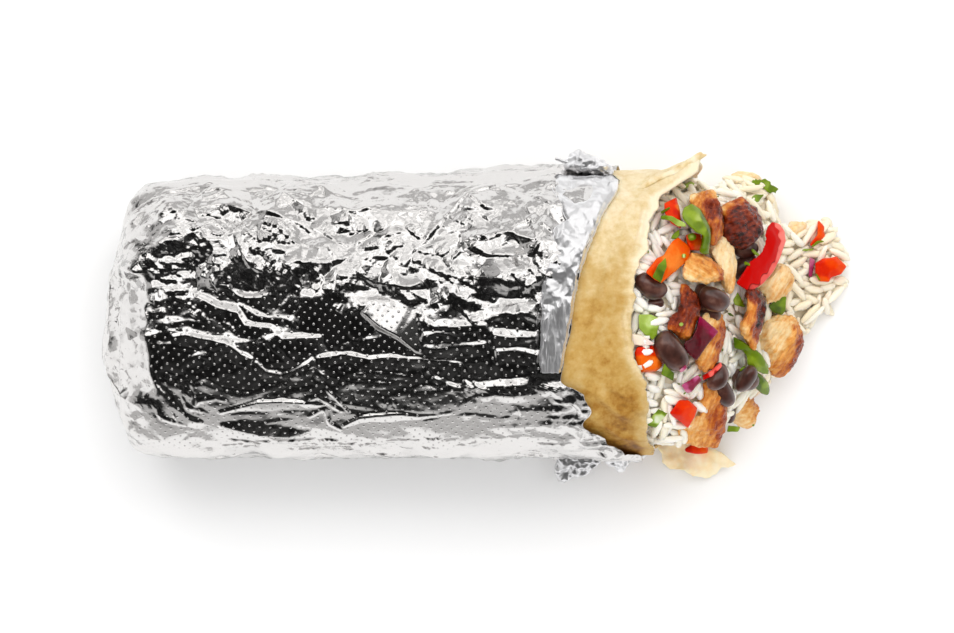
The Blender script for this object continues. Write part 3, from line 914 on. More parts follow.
# Each piece: its kind, the height of its middle, its thickness, its outline from above as camera points, and how its
# colour runs there: (point, tone). For chicken, also the direction of its fibres.
PIECES = {
    "chicken_a": ("chicken", 43.4, 9, 70,
        ((689.6, 193.6), (699.6, 191.3), (713.4, 189.5), (718.3, 195.9), (722.3, 209.7), (724.4, 221.9), (724.1, 235.7), (718, 243.7), (711.2, 245.2), (707.2, 235.7), (699.6, 221.9), (691.9, 211.2), (689.2, 200.5)),
        ((691.9, 194.4, 0.12), (701.1, 197.5, 0.5), (710.3, 203.6, 0.86), (718, 209.7, 0.88), (711.8, 215.8, 0.8), (716.4, 221.9, 0.62), (719.5, 232.7, 0.55), (713.4, 240.3, 0.6), (699.6, 211.2, 0.5), (716.4, 194.4, 0.3), (723.5, 226.5, 0.7))),
    "chicken_b": ("chicken", 34.8, 9.6, 20,
        ((721.3, 209.4), (727.1, 203.9), (734.8, 199.7), (742.5, 195.6), (750.1, 200.5), (758.5, 208.9), (762.4, 217.4), (764.7, 232.7), (757.8, 238.8), (751.9, 243.7), (747, 248.3), (740.9, 249.8), (733.3, 246.4), (725.6, 240.3), (722.9, 229.6), (723.5, 217.4)),
        ((721.8, 209.7, 0.35), (730.2, 202, 0.5), (742.5, 197.5, 0.62), (736.3, 211.2, 0.9), (751.6, 208.2, 0.84), (742.5, 221.9, 0.9), (757.8, 218.9, 0.86), (733.3, 235.7, 0.93), (750.1, 235.7, 0.9), (762.4, 231.1, 0.96), (727.1, 221.9, 0.84))),
    "chicken_c": ("chicken", 49.8, 6.6, -28,
        ((691.2, 252.6), (699.6, 254.1), (710.3, 257.1), (718, 263.3), (724.1, 270.9), (726.2, 280.1), (718, 282.9), (705.7, 284.7), (693.5, 281.9), (683.5, 278.9), (682.8, 272.5), (685.8, 263.3)),
        ((693.5, 255.6, 0.42), (705.7, 260.2, 0.48), (718, 266.3, 0.52), (724.1, 277, 0.6), (711.8, 277, 0.3), (702.7, 280.1, 0.25), (687.4, 277, 0.18), (696.5, 269.4, 0.36), (705.7, 269.4, 0.4))),
    "chicken_d": ("chicken", 40.8, 8, 80,
        ((708, 248), (711.8, 241.8), (721, 236.6), (730.2, 244.1), (736, 253.3), (737.6, 266.3), (736, 281.6), (730.5, 294.7), (724.1, 287.8), (721, 272.5), (713.4, 260.2)),
        ((711.8, 248, 0.1), (727.1, 248, 0.08), (733.3, 263.3, 0.1), (730.2, 287.8, 0.22), (735.6, 281.6, 0.3), (721, 257.1, 0.08))),
    "chicken_e": ("chicken", 50.4, 7.4, 60,
        ((680.9, 283.2), (687.4, 284.7), (696.5, 293.1), (700.7, 303.8), (699.6, 316.1), (695.8, 327.6), (691.9, 339), (685.8, 341), (676.6, 334.4), (665.2, 330.9), (668.2, 319.1), (678.9, 312.3), (680, 296.9)),
        ((682.8, 286.2, 0.6), (688.9, 293.9, 0.84), (696.5, 303.1, 0.86), (687.4, 306.1, 0.82), (684.3, 318.4, 0.84), (675.1, 321.4, 0.84), (670.5, 330.6, 0.66), (687.4, 336.7, 0.52), (693.5, 330.6, 0.62))),
    "chicken_f": ("chicken", 43.6, 8, 62,
        ((702.7, 316.8), (705.7, 313.2), (714.9, 311.6), (725.6, 314.5), (726.5, 323), (725.3, 336.7), (722.3, 352), (719.5, 361.2), (711.8, 369.2), (705, 373.8), (696.5, 365.8), (695, 350.5), (699.6, 330.6)),
        ((707.2, 315.3, 0.16), (718, 316.8, 0.22), (724.1, 318.4, 0.55), (723.3, 330.6, 0.74), (720.3, 345.9, 0.72), (716.4, 358.2, 0.62), (711.8, 350.5, 0.3), (705.7, 361.2, 0.38), (701.1, 364.3, 0.42), (711.8, 330.6, 0.2))),
    "chicken_g": ("chicken", 32.2, 8, 70,
        ((745.8, 288.2), (753.2, 288.2), (761.6, 292), (767.6, 299.2), (766.5, 310.7), (764.2, 319.9), (761.1, 330.6), (757.8, 339.8), (756.5, 351.3), (750.1, 346.2), (742.5, 336), (740.3, 329.1), (746.7, 313.8), (750.1, 303.1)),
        ((750.1, 292.4, 0.84), (759.3, 296.9, 0.94), (764.7, 303.1, 0.96), (763.1, 315.3, 0.97), (760.1, 326, 0.96), (757.8, 335.2, 0.7), (753.2, 345.9, 0.42), (747, 335.2, 0.34), (751.6, 318.4, 0.46), (750.1, 304.6, 0.36), (753.2, 296.9, 0.82), (745.5, 330.6, 0.22))),
    "chicken_h": ("chicken", 21.8, 8.6, 55,
        ((755.9, 284.7), (763.9, 280.1), (773.1, 270.9), (779.2, 263.6), (787.2, 265.1), (794.8, 272.5), (796.3, 280.1), (791.7, 289.6), (785.3, 297.3), (776.1, 301.8), (766.9, 304.1), (765.7, 296.9), (760.1, 290.8)),
        ((760.8, 286.2, 0.16), (773.1, 280.1, 0.14), (785.3, 269.4, 0.16), (794.5, 280.1, 0.26), (782.3, 295.4, 0.22), (768.5, 301.5, 0.2))),
    "chicken_i": ("chicken", 14.8, 12, 50,
        ((771.5, 316.5), (780.7, 314.2), (793, 315), (800.9, 321.4), (804.1, 330.6), (804.9, 342.9), (801.2, 358.2), (796.3, 367.4), (787.2, 375.3), (777.7, 377.8), (771.5, 373.8), (769.7, 365.8), (763.3, 356.6), (757.5, 349), (755.9, 339.8), (759, 330.6), (765.4, 321.4)),
        ((766.9, 326, 0.14), (779.2, 318.4, 0.22), (793, 319.9, 0.3), (774.6, 333.7, 0.08), (788.4, 330.6, 0.12), (782.3, 345.9, 0.18), (797.6, 327.6, 0.5), (802.2, 339.8, 0.74), (803.7, 352, 0.9), (797.6, 364.3, 0.8), (785.3, 371.9, 0.55), (776.1, 375, 0.48), (766.9, 358.2, 0.28), (759.3, 344.4, 0.2), (789.9, 355.1, 0.36), (793, 345.9, 0.4))),
    "chicken_j": ("chicken", 31.6, 11, 75,
        ((702, 382.7), (708.8, 380.8), (715.2, 390.3), (722.9, 398), (726.2, 407.1), (727, 422.5), (725.9, 433.2), (721.6, 440.8), (719.5, 449.2), (710.3, 447.9), (699.6, 446.6), (685.8, 443.1), (678.2, 434.7), (678.9, 425.5), (687.4, 422.5), (694.2, 414.8), (695.8, 404.1), (700.4, 394.9)),
        ((707.2, 385.7, 0.42), (714.9, 398, 0.44), (721, 407.1, 0.58), (724.1, 422.5, 0.68), (721, 434.7, 0.66), (713.4, 416.3, 0.64), (716.4, 427, 0.66), (705.7, 407.1, 0.36), (699.6, 419.4, 0.26), (705.7, 434.7, 0.34), (693.5, 434.7, 0.3), (685.8, 437.8, 0.36), (711.8, 442.4, 0.44), (718, 446.9, 0.5), (693.5, 427, 0.24))),
    "chicken_k": ("chicken", 14.2, 10, 10,
        ((729.4, 398.7), (739.4, 393.7), (751.9, 390.8), (755.3, 398), (762, 410.5), (758.1, 418.2), (756.5, 425.8), (747, 428.9), (736.3, 424.3), (727.6, 419.7), (729, 413.3), (729, 405.6)),
        ((736.3, 399.5, 0.34), (748.6, 394.9, 0.48), (754.7, 401, 0.52), (757.8, 411.7, 0.44), (742.5, 407.1, 0.3), (750.1, 410.2, 0.32), (742.5, 420.9, 0.2), (733.3, 417.9, 0.18), (751.6, 424, 0.26), (731.7, 405.6, 0.36))),
    "chicken_l": ("chicken", 11.4, 5, 10,
        ((730.2, 175.3), (736.3, 171.1), (750.1, 171.9), (762.7, 175.7), (766.9, 181.4), (762.4, 186.7), (751.6, 189), (742.5, 194.4), (734.5, 189.8), (732.5, 180.6)),
        ((736.3, 176, 0.1), (751.6, 176, 0.08), (760.8, 180.6, 0.12), (742.5, 188.3, 0.14))),
    "chicken_m": ("chicken", 9.4, 4.6, 20,
        ((787.6, 226.5), (790.2, 221.3), (807.1, 222.4), (808.3, 228.4), (802.2, 236), (790.2, 241.2), (786.5, 233.4)),
        ((793, 225, 0.1), (803.7, 225, 0.12), (791.4, 237.2, 0.18))),
    "pepper_green_curl": ("pepper", 51.5, 3.6, 0,
        ((681.7, 213.1), (684, 206.6), (691.9, 202.5), (701.1, 207.9), (706, 215.8), (710.6, 226.5), (711.8, 235.7), (710.6, 244.9), (709.1, 254.4), (702.7, 254.7), (699.3, 251.3), (702, 241.8), (703.4, 233.4), (696.5, 230.2), (687.4, 225.3), (682.8, 219.2)),
        ((685.8, 209.7, 0.45), (693.5, 206.6, 0.35), (687.4, 220.4, 0.35), (699.6, 223.5, 0.25), (703.4, 217.4, 0.1), (708, 229.6, 0.05), (710.3, 241.8, 0.12), (705.7, 249.5, 0.2), (690.4, 214.3, 0.55), (699.6, 218.9, 0.75), (705.7, 229.6, 0.5))),
    "pepper_green_a": ("pepper", 31.2, 3.4, 0,
        ((732.2, 336.1), (742.5, 341.6), (753.2, 347.1), (764.2, 356.6), (769.7, 365.8), (770.6, 375.3), (762.4, 374.1), (753.2, 369.5), (747.7, 364.3), (746.7, 356.6), (740.9, 349.9), (733.3, 349)),
        ((734, 338.3, 0.05), (742.5, 345.9, 0.2), (754.7, 352, 0.25), (762.4, 361.2, 0.3), (766.9, 370.4, 0.35), (751.6, 361.2, 0.45), (757.8, 367.4, 0.5))),
    "pepper_green_b": ("pepper", 26.8, 3, 0,
        ((737.6, 370.7), (741.8, 365.5), (753.2, 368.6), (762.4, 374.7), (769.5, 382.7), (771.8, 390.3), (769.5, 396.1), (762.4, 393.7), (754.7, 387.6), (751.3, 381.4), (745.5, 375.3)),
        ((740.9, 368.9, 0.3), (753.2, 371.9, 0.1), (762.4, 379.6, 0.1), (769.2, 390.3, 0.25), (757.8, 385.7, 0), (766.9, 385.7, 0.45))),
    "pepper_red_strip": ("pepper_red", 31.6, 4, 0,
        ((767.9, 226.5), (773.1, 220.9), (781, 223.2), (786.4, 231.1), (787.5, 240.3), (782.6, 255.6), (774.9, 270.9), (764.2, 283.5), (753.2, 290.1), (745.5, 290.5), (734.5, 283.5), (742.5, 272.5), (754.7, 263), (762.4, 255.6), (767.3, 243.4), (768.5, 235.7)),
        ((771.5, 226.5, 0), (773.1, 238.8, 0), (770.8, 251, 0), (762.4, 263.3, 0), (750.1, 275.5, 0), (739.4, 283.2, 0), (779.2, 226.5, 0.9), (784.1, 235.7, 1), (783.8, 244.9, 0.95), (780, 255.6, 0.85), (773.1, 269.4, 0.75), (763.9, 280.1, 0.6), (754.7, 287.8, 0.5), (776.1, 229.6, 0.1), (777.7, 241.8, 0.05), (774.6, 254.1, 0.05), (766.9, 266.3, 0.05), (756.2, 278.6, 0.05))),
    "tomato_slab": ("tomato", 53.4, 4, 0,
        ((678.9, 236.6), (687.4, 243.1), (691.6, 249.5), (690.1, 260.5), (681.2, 266.6), (670.5, 275.8), (661.3, 283.5), (653.7, 280.1), (645, 272.5), (656.7, 258.4), (663.6, 255.3), (667.5, 248), (673.6, 240)),
        ((679.7, 241.8, 0.55), (687.4, 248, 0.5), (687.4, 257.1, 0.7), (673.6, 249.5, 0.75), (670.5, 260.2, 0.85), (678.2, 260.2, 0.85), (656.7, 266.3, 0.5), (650.6, 272.5, 0.45), (662.9, 275.5, 0.6))),
    "tomato_wedge": ("tomato", 49.4, 3.8, 0,
        ((664.1, 202.8), (677.4, 196.4), (680.6, 211.2), (681.5, 229.6), (672, 224.1), (665.9, 217.4), (664.4, 211.2)),
        ((667.5, 202, 0.35), (673.6, 200.5, 0.2), (676.6, 211.2, 0.05), (679.7, 223.5, 0.05), (669, 211.2, 0.3), (673.6, 218.9, 0.3), (679.4, 208.2, 0.9))),
    "tomato_dice_d": ("tomato", 47.2, 3.8, 0,
        ((685.8, 235.1), (693.5, 232.4), (701.4, 233.9), (702.4, 241.8), (699.9, 250.7), (690.4, 250.7), (687, 243.4)),
        ((688.9, 238.8, 0.4), (698.1, 237.2, 0.5), (698.1, 246.4, 0.6), (690.4, 248, 0.35))),
    "tomato_dice_a": ("tomato", 52.6, 6.4, 0,
        ((634.2, 352.8), (636.8, 347.1), (652.9, 344.7), (662.6, 356.3), (662.7, 367.4), (656.7, 371.6), (639.9, 373.2), (636.5, 365.8)),
        ((638.4, 349, 0.15), (647.6, 349, 0.05), (655.2, 352, 0.35), (643, 359.7, 0.7), (653.7, 361.2, 0.8), (659.8, 367.4, 0.7), (641.4, 368.9, 0.6))),
    "tomato_dice_b": ("tomato", 42.4, 6.4, 0,
        ((669.4, 413.3), (678.9, 400), (688.9, 400), (697.8, 408.4), (695.6, 417.9), (688.9, 428.3), (681.2, 422.5)),
        ((673.6, 411.7, 0.05), (681.2, 404.1, 0.25), (688.9, 407.1, 0.35), (693.5, 413.3, 0.4), (685.8, 419.4, 0.3), (678.2, 417.9, 0.15))),
    "tomato_dice_c": ("tomato", 8.6, 5.4, 0,
        ((814.9, 263.3), (823.6, 258.4), (837.7, 255.9), (847.8, 266.3), (842.3, 274.3), (830.9, 277.4), (829.7, 281.9), (819, 281.9), (815.6, 274)),
        ((819, 267.9, 0.1), (825.1, 272.5, 0.1), (831.2, 261.7, 0.4), (840.4, 266.3, 0.45), (823.6, 280.1, 0.5), (834.3, 272.5, 0.25))),
    "tomato_dice_e": ("tomato", 7.6, 3.4, 0,
        ((809.5, 244.6), (817.5, 235.1), (819, 220.1), (824.7, 226.5), (825.6, 237.6), (819, 242.5), (810.7, 246.4)),
        ((821.3, 226.5, 0.45), (822.1, 235.7, 0.5), (814.4, 243.4, 0.3))),
    "tomato_sliver": ("tomato", 6.8, 3.6, 0,
        ((684, 449.5), (691.9, 444.3), (709.1, 445.9), (708.5, 453.4), (696.5, 454.3), (685.8, 452)),
        ((687.4, 450, 0.05), (696.5, 448.5, 0.3), (705.7, 448.5, 0.5))),
    "onion_red_a": ("onion", 50.6, 3.2, 0,
        ((699.6, 315), (719.8, 331.4), (709.1, 344.4), (696.5, 360.9), (687.4, 353.9), (684, 345.9), (684.3, 341), (691.3, 339.2), (696.5, 327.6)),
        ((700.4, 316.8, 0.5), (708.8, 323, 0.5), (716.4, 330.6, 0.55), (699.6, 330.6, 0.12), (693.5, 342.9, 0.05), (688.9, 349, 0.05), (705.7, 339.8, 0.1), (696.5, 356.6, 0.08))),
    "onion_red_b": ("onion", 48.4, 2.6, 0,
        ((680.9, 385.1), (698.1, 374.5), (702.4, 380.4), (691.9, 392.5), (687, 393.1)),
        ((684.3, 385.7, 0.7), (690.4, 382.7, 0.5), (696.5, 378.1, 0.75), (699.6, 381.1, 0.35), (691.9, 388.8, 0.4), (688.9, 391.8, 0.8))),
}

# Small pieces that aren't in the CAD model: kind, how far the top stands over the rice, and the rest as above
SMALL = {
    "onion_pale": ("onion", 1, 1.6, 0,
        ((630.7, 332.6), (643, 335.7), (656.3, 344.4), (643, 346.2), (630.7, 344.7)),
        ((635.3, 338.3, 1.3), (650.6, 342.9, 1.15))),
    "pepper_red_chip": ("pepper_red", 1.4, 1.6, 0,
        ((701.9, 375.3), (711.8, 370.4), (721.6, 360.9), (723.2, 365.8), (712.6, 376.5), (702.7, 380.8)),
        ((705.7, 376.5, 0.1), (711.8, 373.5, 0.8), (719.5, 365.8, 0.7), (714.9, 373.5, 0.4))),
    "onion_chip_a": ("onion", 2.2, 1.2, 0,
        ((809.8, 256.8), (815.5, 259.6), (811.9, 278), (808.6, 276.1)),
        ((812.1, 260.2, 0.75), (810.6, 272.5, 0.6))),
    "onion_chip_b": ("onion", 1.2, 1, 0,
        ((678.6, 370.7), (685.8, 364), (687.7, 367.7), (681.2, 373.2)),
        ((681.2, 370.4, 0.8), (685.8, 365.8, 0.55))),
    "green_a": ("green", 1.2, 1.6, 0,
        ((638.1, 314.2), (650.6, 314.2), (662.4, 319.1), (658.6, 327.6), (657, 335.2), (652.9, 340.4), (644.5, 334.7), (638.4, 327.9)),
        ((641.4, 318.4, 0.75), (655.2, 319.9, 0.9), (653.7, 333.7, 0.55), (643, 329.1, 0.65), (649.1, 323, 0.95))),
    "green_b": ("green", 0.8, 1.6, 0,
        ((664.1, 362.5), (674.6, 373.5), (673.9, 381.4), (661, 374.5)),
        ((665.9, 365.8, 0.5), (670.5, 376.5, 0.15), (664.4, 373.5, 0.35))),
    "scallion": ("green", 1.6, 2, 0,
        ((644.8, 425.1), (658.3, 408.7), (668.1, 413.3), (656.1, 428.1)),
        ((647.6, 424.8, 0.35), (654.4, 427, 0.4), (658.3, 410.2, 0.3), (665.9, 413.3, 0.35), (652.1, 419.4, 0.8), (656.7, 419.4, 1.25), (661.3, 417.9, 1.1))),
    "green_c": ("green", 2.2, 1.4, 0,
        ((737.6, 291.3), (745.8, 307.8), (734.8, 304.9), (733, 300)),
        ((737.9, 295.4, 0.6), (742.5, 304.6, 0.35), (736.3, 303.1, 0.7))),
    "cilantro_a": ("leaf", 2.2, 0.5, 0,
        ((749.8, 187.7), (750.4, 184), (751.9, 182.5), (752.6, 180), (754.4, 181.2), (755.6, 178.5), (757.5, 180), (759.6, 178.2), (761.1, 180), (763.9, 178.5), (766.6, 177.9), (768.2, 180.3), (770.6, 181.2), (771.5, 184), (774.6, 184.9), (775.8, 186.7), (779.2, 188.3), (777.7, 190.4), (776.7, 193.2), (773.1, 192.2), (770, 193.5), (766.9, 191.3), (763.9, 188.3), (757.8, 186.1)),
        ((753.2, 183.7, 0.45), (762.4, 180.6, 0.4), (771.5, 186.7, 0.25), (776.1, 189.8, 0.35), (766.9, 185.2, 0.6))),
    "cilantro_b": ("leaf", 1.6, 0.5, 0,
        ((750.4, 199.3), (752.6, 195.9), (756.2, 194.1), (765.1, 194.1), (762.4, 197.5), (758.5, 202), (754.7, 202.8), (751.6, 201.3)),
        ((754.7, 197.5, 0.5), (760.8, 195.9, 0.3))),
    "green_d": ("green", 1.4, 2.2, 0,
        ((767.9, 306.1), (773.1, 301.5), (780.7, 296.6), (786.5, 296.6), (786.5, 310.7), (782.6, 315.2), (773.1, 312.6)),
        ((771.5, 306.1, 0.12), (779.2, 300, 0.25), (783.8, 303.1, 0.5), (777.7, 310.7, 0.05), (784.5, 312.3, 0.3))),
    "green_e": ("green", 0.9, 1.6, 0,
        ((727.6, 425.2), (741.2, 427), (738.2, 431.9), (726.8, 431.9)),
        ((731.7, 428.6, 0.4), (739.4, 429.3, 0.6))),
    "leaf_slab": ("green", 2, 0.9, 0,
        ((666.2, 256.8), (667.1, 266.3), (660.9, 283.5), (651.8, 277.4), (658.3, 264.5)),
        ((664.4, 260.2, 0.5), (661.3, 272.5, 0.05), (655.2, 275.5, 0.25), (663.6, 269.4, 0.3))),
    "leaf_wedge": ("green", 2.3, 0.9, 0,
        ((660.3, 215.8), (665.9, 214.9), (672, 216.1), (686.1, 223.2), (686.4, 226.8), (678.2, 226.5), (670.5, 220.7), (661, 219.2)),
        ((662.9, 217.4, 0.35), (672, 218.9, 0.6), (682.8, 225, 0.9))),
    "leaf_wedge_b": ("green", 2.2, 0.8, 0,
        ((660.1, 211.5), (669.9, 206.3), (670.5, 209.1), (662.2, 214)),
        ((664.4, 211.2, 0.3),)),
    "leaf_wedge_c": ("green", 1.2, 1.2, 0,
        ((670.5, 238.8), (673, 233.9), (680, 229), (679.4, 235.7), (676.6, 239.4)),
        ((675.1, 235.7, 0.4),)),
    "ring_a": ("green", 3.6, 1, 0,
        ((687, 236), (689.2, 233.6), (693.2, 232.7), (696.5, 235.1), (696.5, 238.8), (693.5, 240.6), (689.2, 240.3)),
        ((691.9, 236.9, 0.9), (687.4, 236.5, 0.3), (695.8, 237.2, 0.3), (691.9, 233.4, 0.35), (691.9, 240.3, 0.35))),
    "ring_b": ("green", 3.2, 0.9, 0,
        ((681.5, 255.6), (682.8, 253.5), (685.5, 253.5), (686.7, 255.6), (685.5, 258.1), (682.5, 258.1)),
        ((684.1, 255.8, 1.1), (681.8, 255.6, 0.5), (686.4, 255.6, 0.5))),
    "bit_a": ("leaf", 1.9, 0.5, 0,
        ((648.8, 188.3), (650.6, 185.5), (657.3, 184), (656.7, 186.4), (652.8, 187.7), (650.6, 190.4)),
        ((652.9, 186.7, 0.3),)),
    "bit_b": ("leaf", 2, 0.5, 0,
        ((677.6, 182.8), (681.2, 183.4), (685.8, 184), (690.7, 181.5), (695.3, 183.1), (693.5, 185.5), (688.9, 186.1), (685.8, 188.6), (681.2, 188.3), (678.2, 187.7)),
        ((681.2, 186, 0.55), (690.4, 183.7, 0.7))),
    "bit_c": ("leaf", 1.2, 0.5, 0,
        ((680.6, 175.4), (684.3, 174.5), (688.3, 173.6), (688, 175.7), (684.3, 176)),
        ((684.3, 175.3, 0.5),)),
    "bit_d": ("leaf", 1.5, 0.6, 0,
        ((702, 188.3), (704.2, 184), (707.2, 185.2), (706.6, 186.7), (703.9, 188.9)),
        ((705, 186.7, 0.3),)),
    "bit_e": ("leaf", 2, 0.5, 0,
        ((801.2, 250.3), (805.2, 248.6), (814.4, 248.3), (813.2, 250.4), (806.7, 251.3), (803.7, 251)),
        ((806.7, 250.3, 0.6),)),
    "bit_f": ("leaf", 2.6, 0.6, 0,
        ((810.7, 246.7), (817.5, 240.6), (821.7, 240), (825.1, 241.5), (820.5, 242.8), (815.9, 245.2), (813.2, 247)),
        ((817.5, 242.6, 0.45),)),
    "bit_g": ("green", 1.5, 1, 0,
        ((751.3, 248), (754.7, 249.5), (759.9, 254.4), (759, 256.2), (754.7, 254.7), (751.3, 251)),
        ((755.5, 251.8, 0.45),)),
    "bit_h": ("green", 1.6, 1, 0,
        ((743.7, 261.7), (745.8, 261.1), (750.1, 263.6), (750.1, 266), (746.4, 264.8), (744.3, 265.7)),
        ((747, 263.3, 0.4),)),
    "bit_i": ("leaf", 2.2, 0.5, 0,
        ((679.1, 324.2), (680.3, 322.3), (682.8, 322.7), (683.7, 324.5), (682.5, 326.3), (680, 326.6)),
        ((681.2, 324.5, 0.7),)),
    "bit_j": ("leaf", 1.6, 0.5, 0,
        ((726.8, 312.9), (730.2, 312.9), (734.5, 315.9), (733.9, 317.1), (729.6, 315.9)),
        ((730.2, 314.5, 0.1),)),
    "bit_k": ("leaf", 1.8, 0.5, 0,
        ((682.8, 393.7), (685.8, 391.2), (686.7, 392.5), (684.3, 394.9)),
        ((684.6, 393.1, 0.4),)),
    "bit_l": ("leaf", 1.6, 0.5, 0,
        ((697.1, 375), (699.6, 373.8), (702, 375), (700.8, 377.1), (697.8, 377.1)),
        ((699.6, 375.6, 0.2),)),
    "bit_m": ("leaf", 1.6, 0.5, 0,
        ((676.6, 383.9), (677.9, 382.4), (681.5, 383.9), (680, 385.7), (677.6, 386)),
        ((678.9, 384.2, 0.2),)),
    "bit_n": ("leaf", 1.8, 0.5, 0,
        ((654.9, 433.5), (656.1, 432.3), (657.7, 433.2), (656.4, 434.7)),
        ((656.1, 433.2, 0.5),)),
    "bit_o": ("leaf", 1.4, 0.5, 0,
        ((751.6, 425.2), (754.1, 423.7), (755.3, 424.9), (753.8, 426.7)),
        ((753.2, 425.2, 0.4),)),
    "bit_p": ("green", 1.2, 0.8, 0,
        ((721, 349.9), (723.5, 347.5), (725.6, 348.7), (724.7, 351.7), (721.6, 352)),
        ((723.3, 349.7, 0.2),)),
    "bit_q": ("leaf", 1.8, 0.5, 0,
        ((628, 318.4), (629.8, 317.4), (632.2, 318.7), (629.5, 319.6)),
        ((629.8, 318.4, 0.4),)),
    "bit_r": ("leaf", 1.8, 0.5, 0,
        ((647.2, 250.4), (648.5, 249.8), (649.1, 252.9), (647.9, 254.7)),
        ((648.2, 252.3, 0.5),)),
    "bit_s": ("leaf", 1.8, 0.5, 0,
        ((650, 194.4), (653.7, 195), (657.7, 196.2), (656.4, 197.8), (652.5, 196.5)),
        ((653.7, 196.2, 0.4),)),
    "bit_t": ("green", 1, 1, 0,
        ((815.3, 272.5), (817.5, 274.3), (820.8, 280.1), (819.6, 281.3), (816.5, 277)),
        ((817.5, 276.3, 0.4),)),
    "bit_u": ("leaf", 2, 0.5, 0,
        ((716.7, 195.9), (718.9, 195), (719.2, 197.5), (717.4, 197.8)),
        ((718, 196.2, 0.5),)),
}

# Grains that stand out: middle, direction and length, as camera points
GRAINS = (
    (657.5, 238.1, -68, 18.5), (748.4, 256.1, -20, 25.7), (756.2, 191.3, 23, 24.9), (772.1, 212.8, 52, 31.8),
    (809, 234.4, 46, 31.1), (827.6, 221.9, -48, 13.1), (759.3, 247.1, -49, 18.6), (668.2, 293.9, -63, 20.6),
    (674.7, 309, -71, 25.6), (815, 311.6, -96, 35.7), (826.5, 306.1, -59, 23.2), (725.1, 190.1, -47, 15.8),
    (797.9, 252.6, 19, 28.3), (839.1, 280.9, 6, 14.3), (686, 200.1, -61, 19.4), (673.7, 274.3, 38, 19.8),
    (768.5, 228.8, -66, 15.1), (741.7, 292.8, -84, 16.2), (735.7, 332, -16, 21), (728.8, 342.1, -85, 21.5),
    (688.2, 371.9, 35, 27.7), (693.3, 378.2, 40, 23.5), (693.9, 392.1, 35, 21.5), (678.5, 436, -52, 24.7),
    (662.1, 439.4, 24, 23.4), (742.7, 389.9, 12, 20.9), (675.1, 393.9, -24, 23.5), (664.4, 410.2, -74, 25.4),
    (653.7, 388.8, -27, 13.6), (649.9, 402.6, -34, 16.4), (737, 356.6, 9, 20.1), (733.2, 372, -39, 19.6),
    (733.2, 366.5, 41, 16.3), (740.9, 358.1, -45, 17.3), (636.1, 307.6, -33, 16.5), (655.2, 308.4, 4, 21.5),
    (674.4, 313.8, -48, 20.5), (636, 292.7, -38, 13.6), (641.5, 302.3, -35, 18.7), (695, 289.7, 166, 15.8),
    (695, 284.3, -34, 25.9), (685.8, 234.2, 162, 9.7), (688.9, 225.8, -57, 5.5), (673.5, 188.2, -11, 15.6),
    (692, 182.1, -22, 16.5), (662.9, 191.7, 17, 12.9), (727.1, 198.2, 14, 18.9), (736.4, 195.2, -21, 13.1),
    (795.2, 302, 8, 17.1), (804.6, 306.1, 10, 17.5), (811.4, 300, -22, 16.5), (803, 283.9, -4, 20),
    (813.7, 289.3, -9, 20.1), (827.4, 287, 5, 16.9), (841.2, 249.5, -48, 20.6), (835.8, 246.4, -10, 18.7),
    (825.1, 247.2, 14, 19), (798.3, 263.2, 17, 20.8), (802.9, 272.4, 20, 17.9), (808.2, 267.9, -31, 17.9),
    (657.5, 411.7, -34, 16.6), (652.1, 376.6, -22, 16.5), (699.6, 392.6, 114, 15.1), (739.4, 321.5, -63, 13.8),
    (731, 322.2, -61, 15.8), (716.5, 399.5, -101, 15.6),
)

# ---------------------------------------------------------------- food: solids

def vertex_normals(v, f):
    n = np.zeros_like(v)
    cross = np.cross(v[f[:, 2]] - v[f[:, 0]], v[f[:, 3]] - v[f[:, 1]])
    for k in range(4):
        np.add.at(n, f[:, k], cross)
    return n / np.maximum(np.linalg.norm(n, axis=1, keepdims=True), 1e-12)


def remeshed(verts, faces, voxel, rounds):
    """Even quads over a closed solid, in mm, with its edges rounded by so many smoothing rounds."""
    mesh = bpy.data.meshes.new("blank")
    mesh.from_pydata([tuple(v) for v in verts], [], [tuple(f) for f in faces])
    bm = bmesh.new()
    bm.from_mesh(mesh)
    bmesh.ops.triangulate(bm, faces=bm.faces)
    bmesh.ops.recalc_face_normals(bm, faces=bm.faces)
    bm.to_mesh(mesh)
    bm.free()
    ob = bpy.data.objects.new("blank", mesh)
    bpy.context.scene.collection.objects.link(ob)
    mod = ob.modifiers.new("remesh", "REMESH")
    mod.mode = "VOXEL"
    mod.voxel_size = voxel
    mod.adaptivity = 0.0
    if rounds:
        mod = ob.modifiers.new("smooth", "SMOOTH")
        mod.factor = 0.5
        mod.iterations = rounds
    ready = ob.evaluated_get(bpy.context.evaluated_depsgraph_get())
    out = ready.to_mesh()
    v = np.zeros(len(out.vertices) * 3, np.float32)
    out.vertices.foreach_get("co", v)
    f = np.array([tuple(p.vertices) if len(p.vertices) == 4 else (*p.vertices, p.vertices[-1]) for p in out.polygons], int)
    ready.to_mesh_clear()
    bpy.data.objects.remove(ob)
    bpy.data.meshes.remove(mesh)
    return v.reshape(-1, 3).astype(float), f


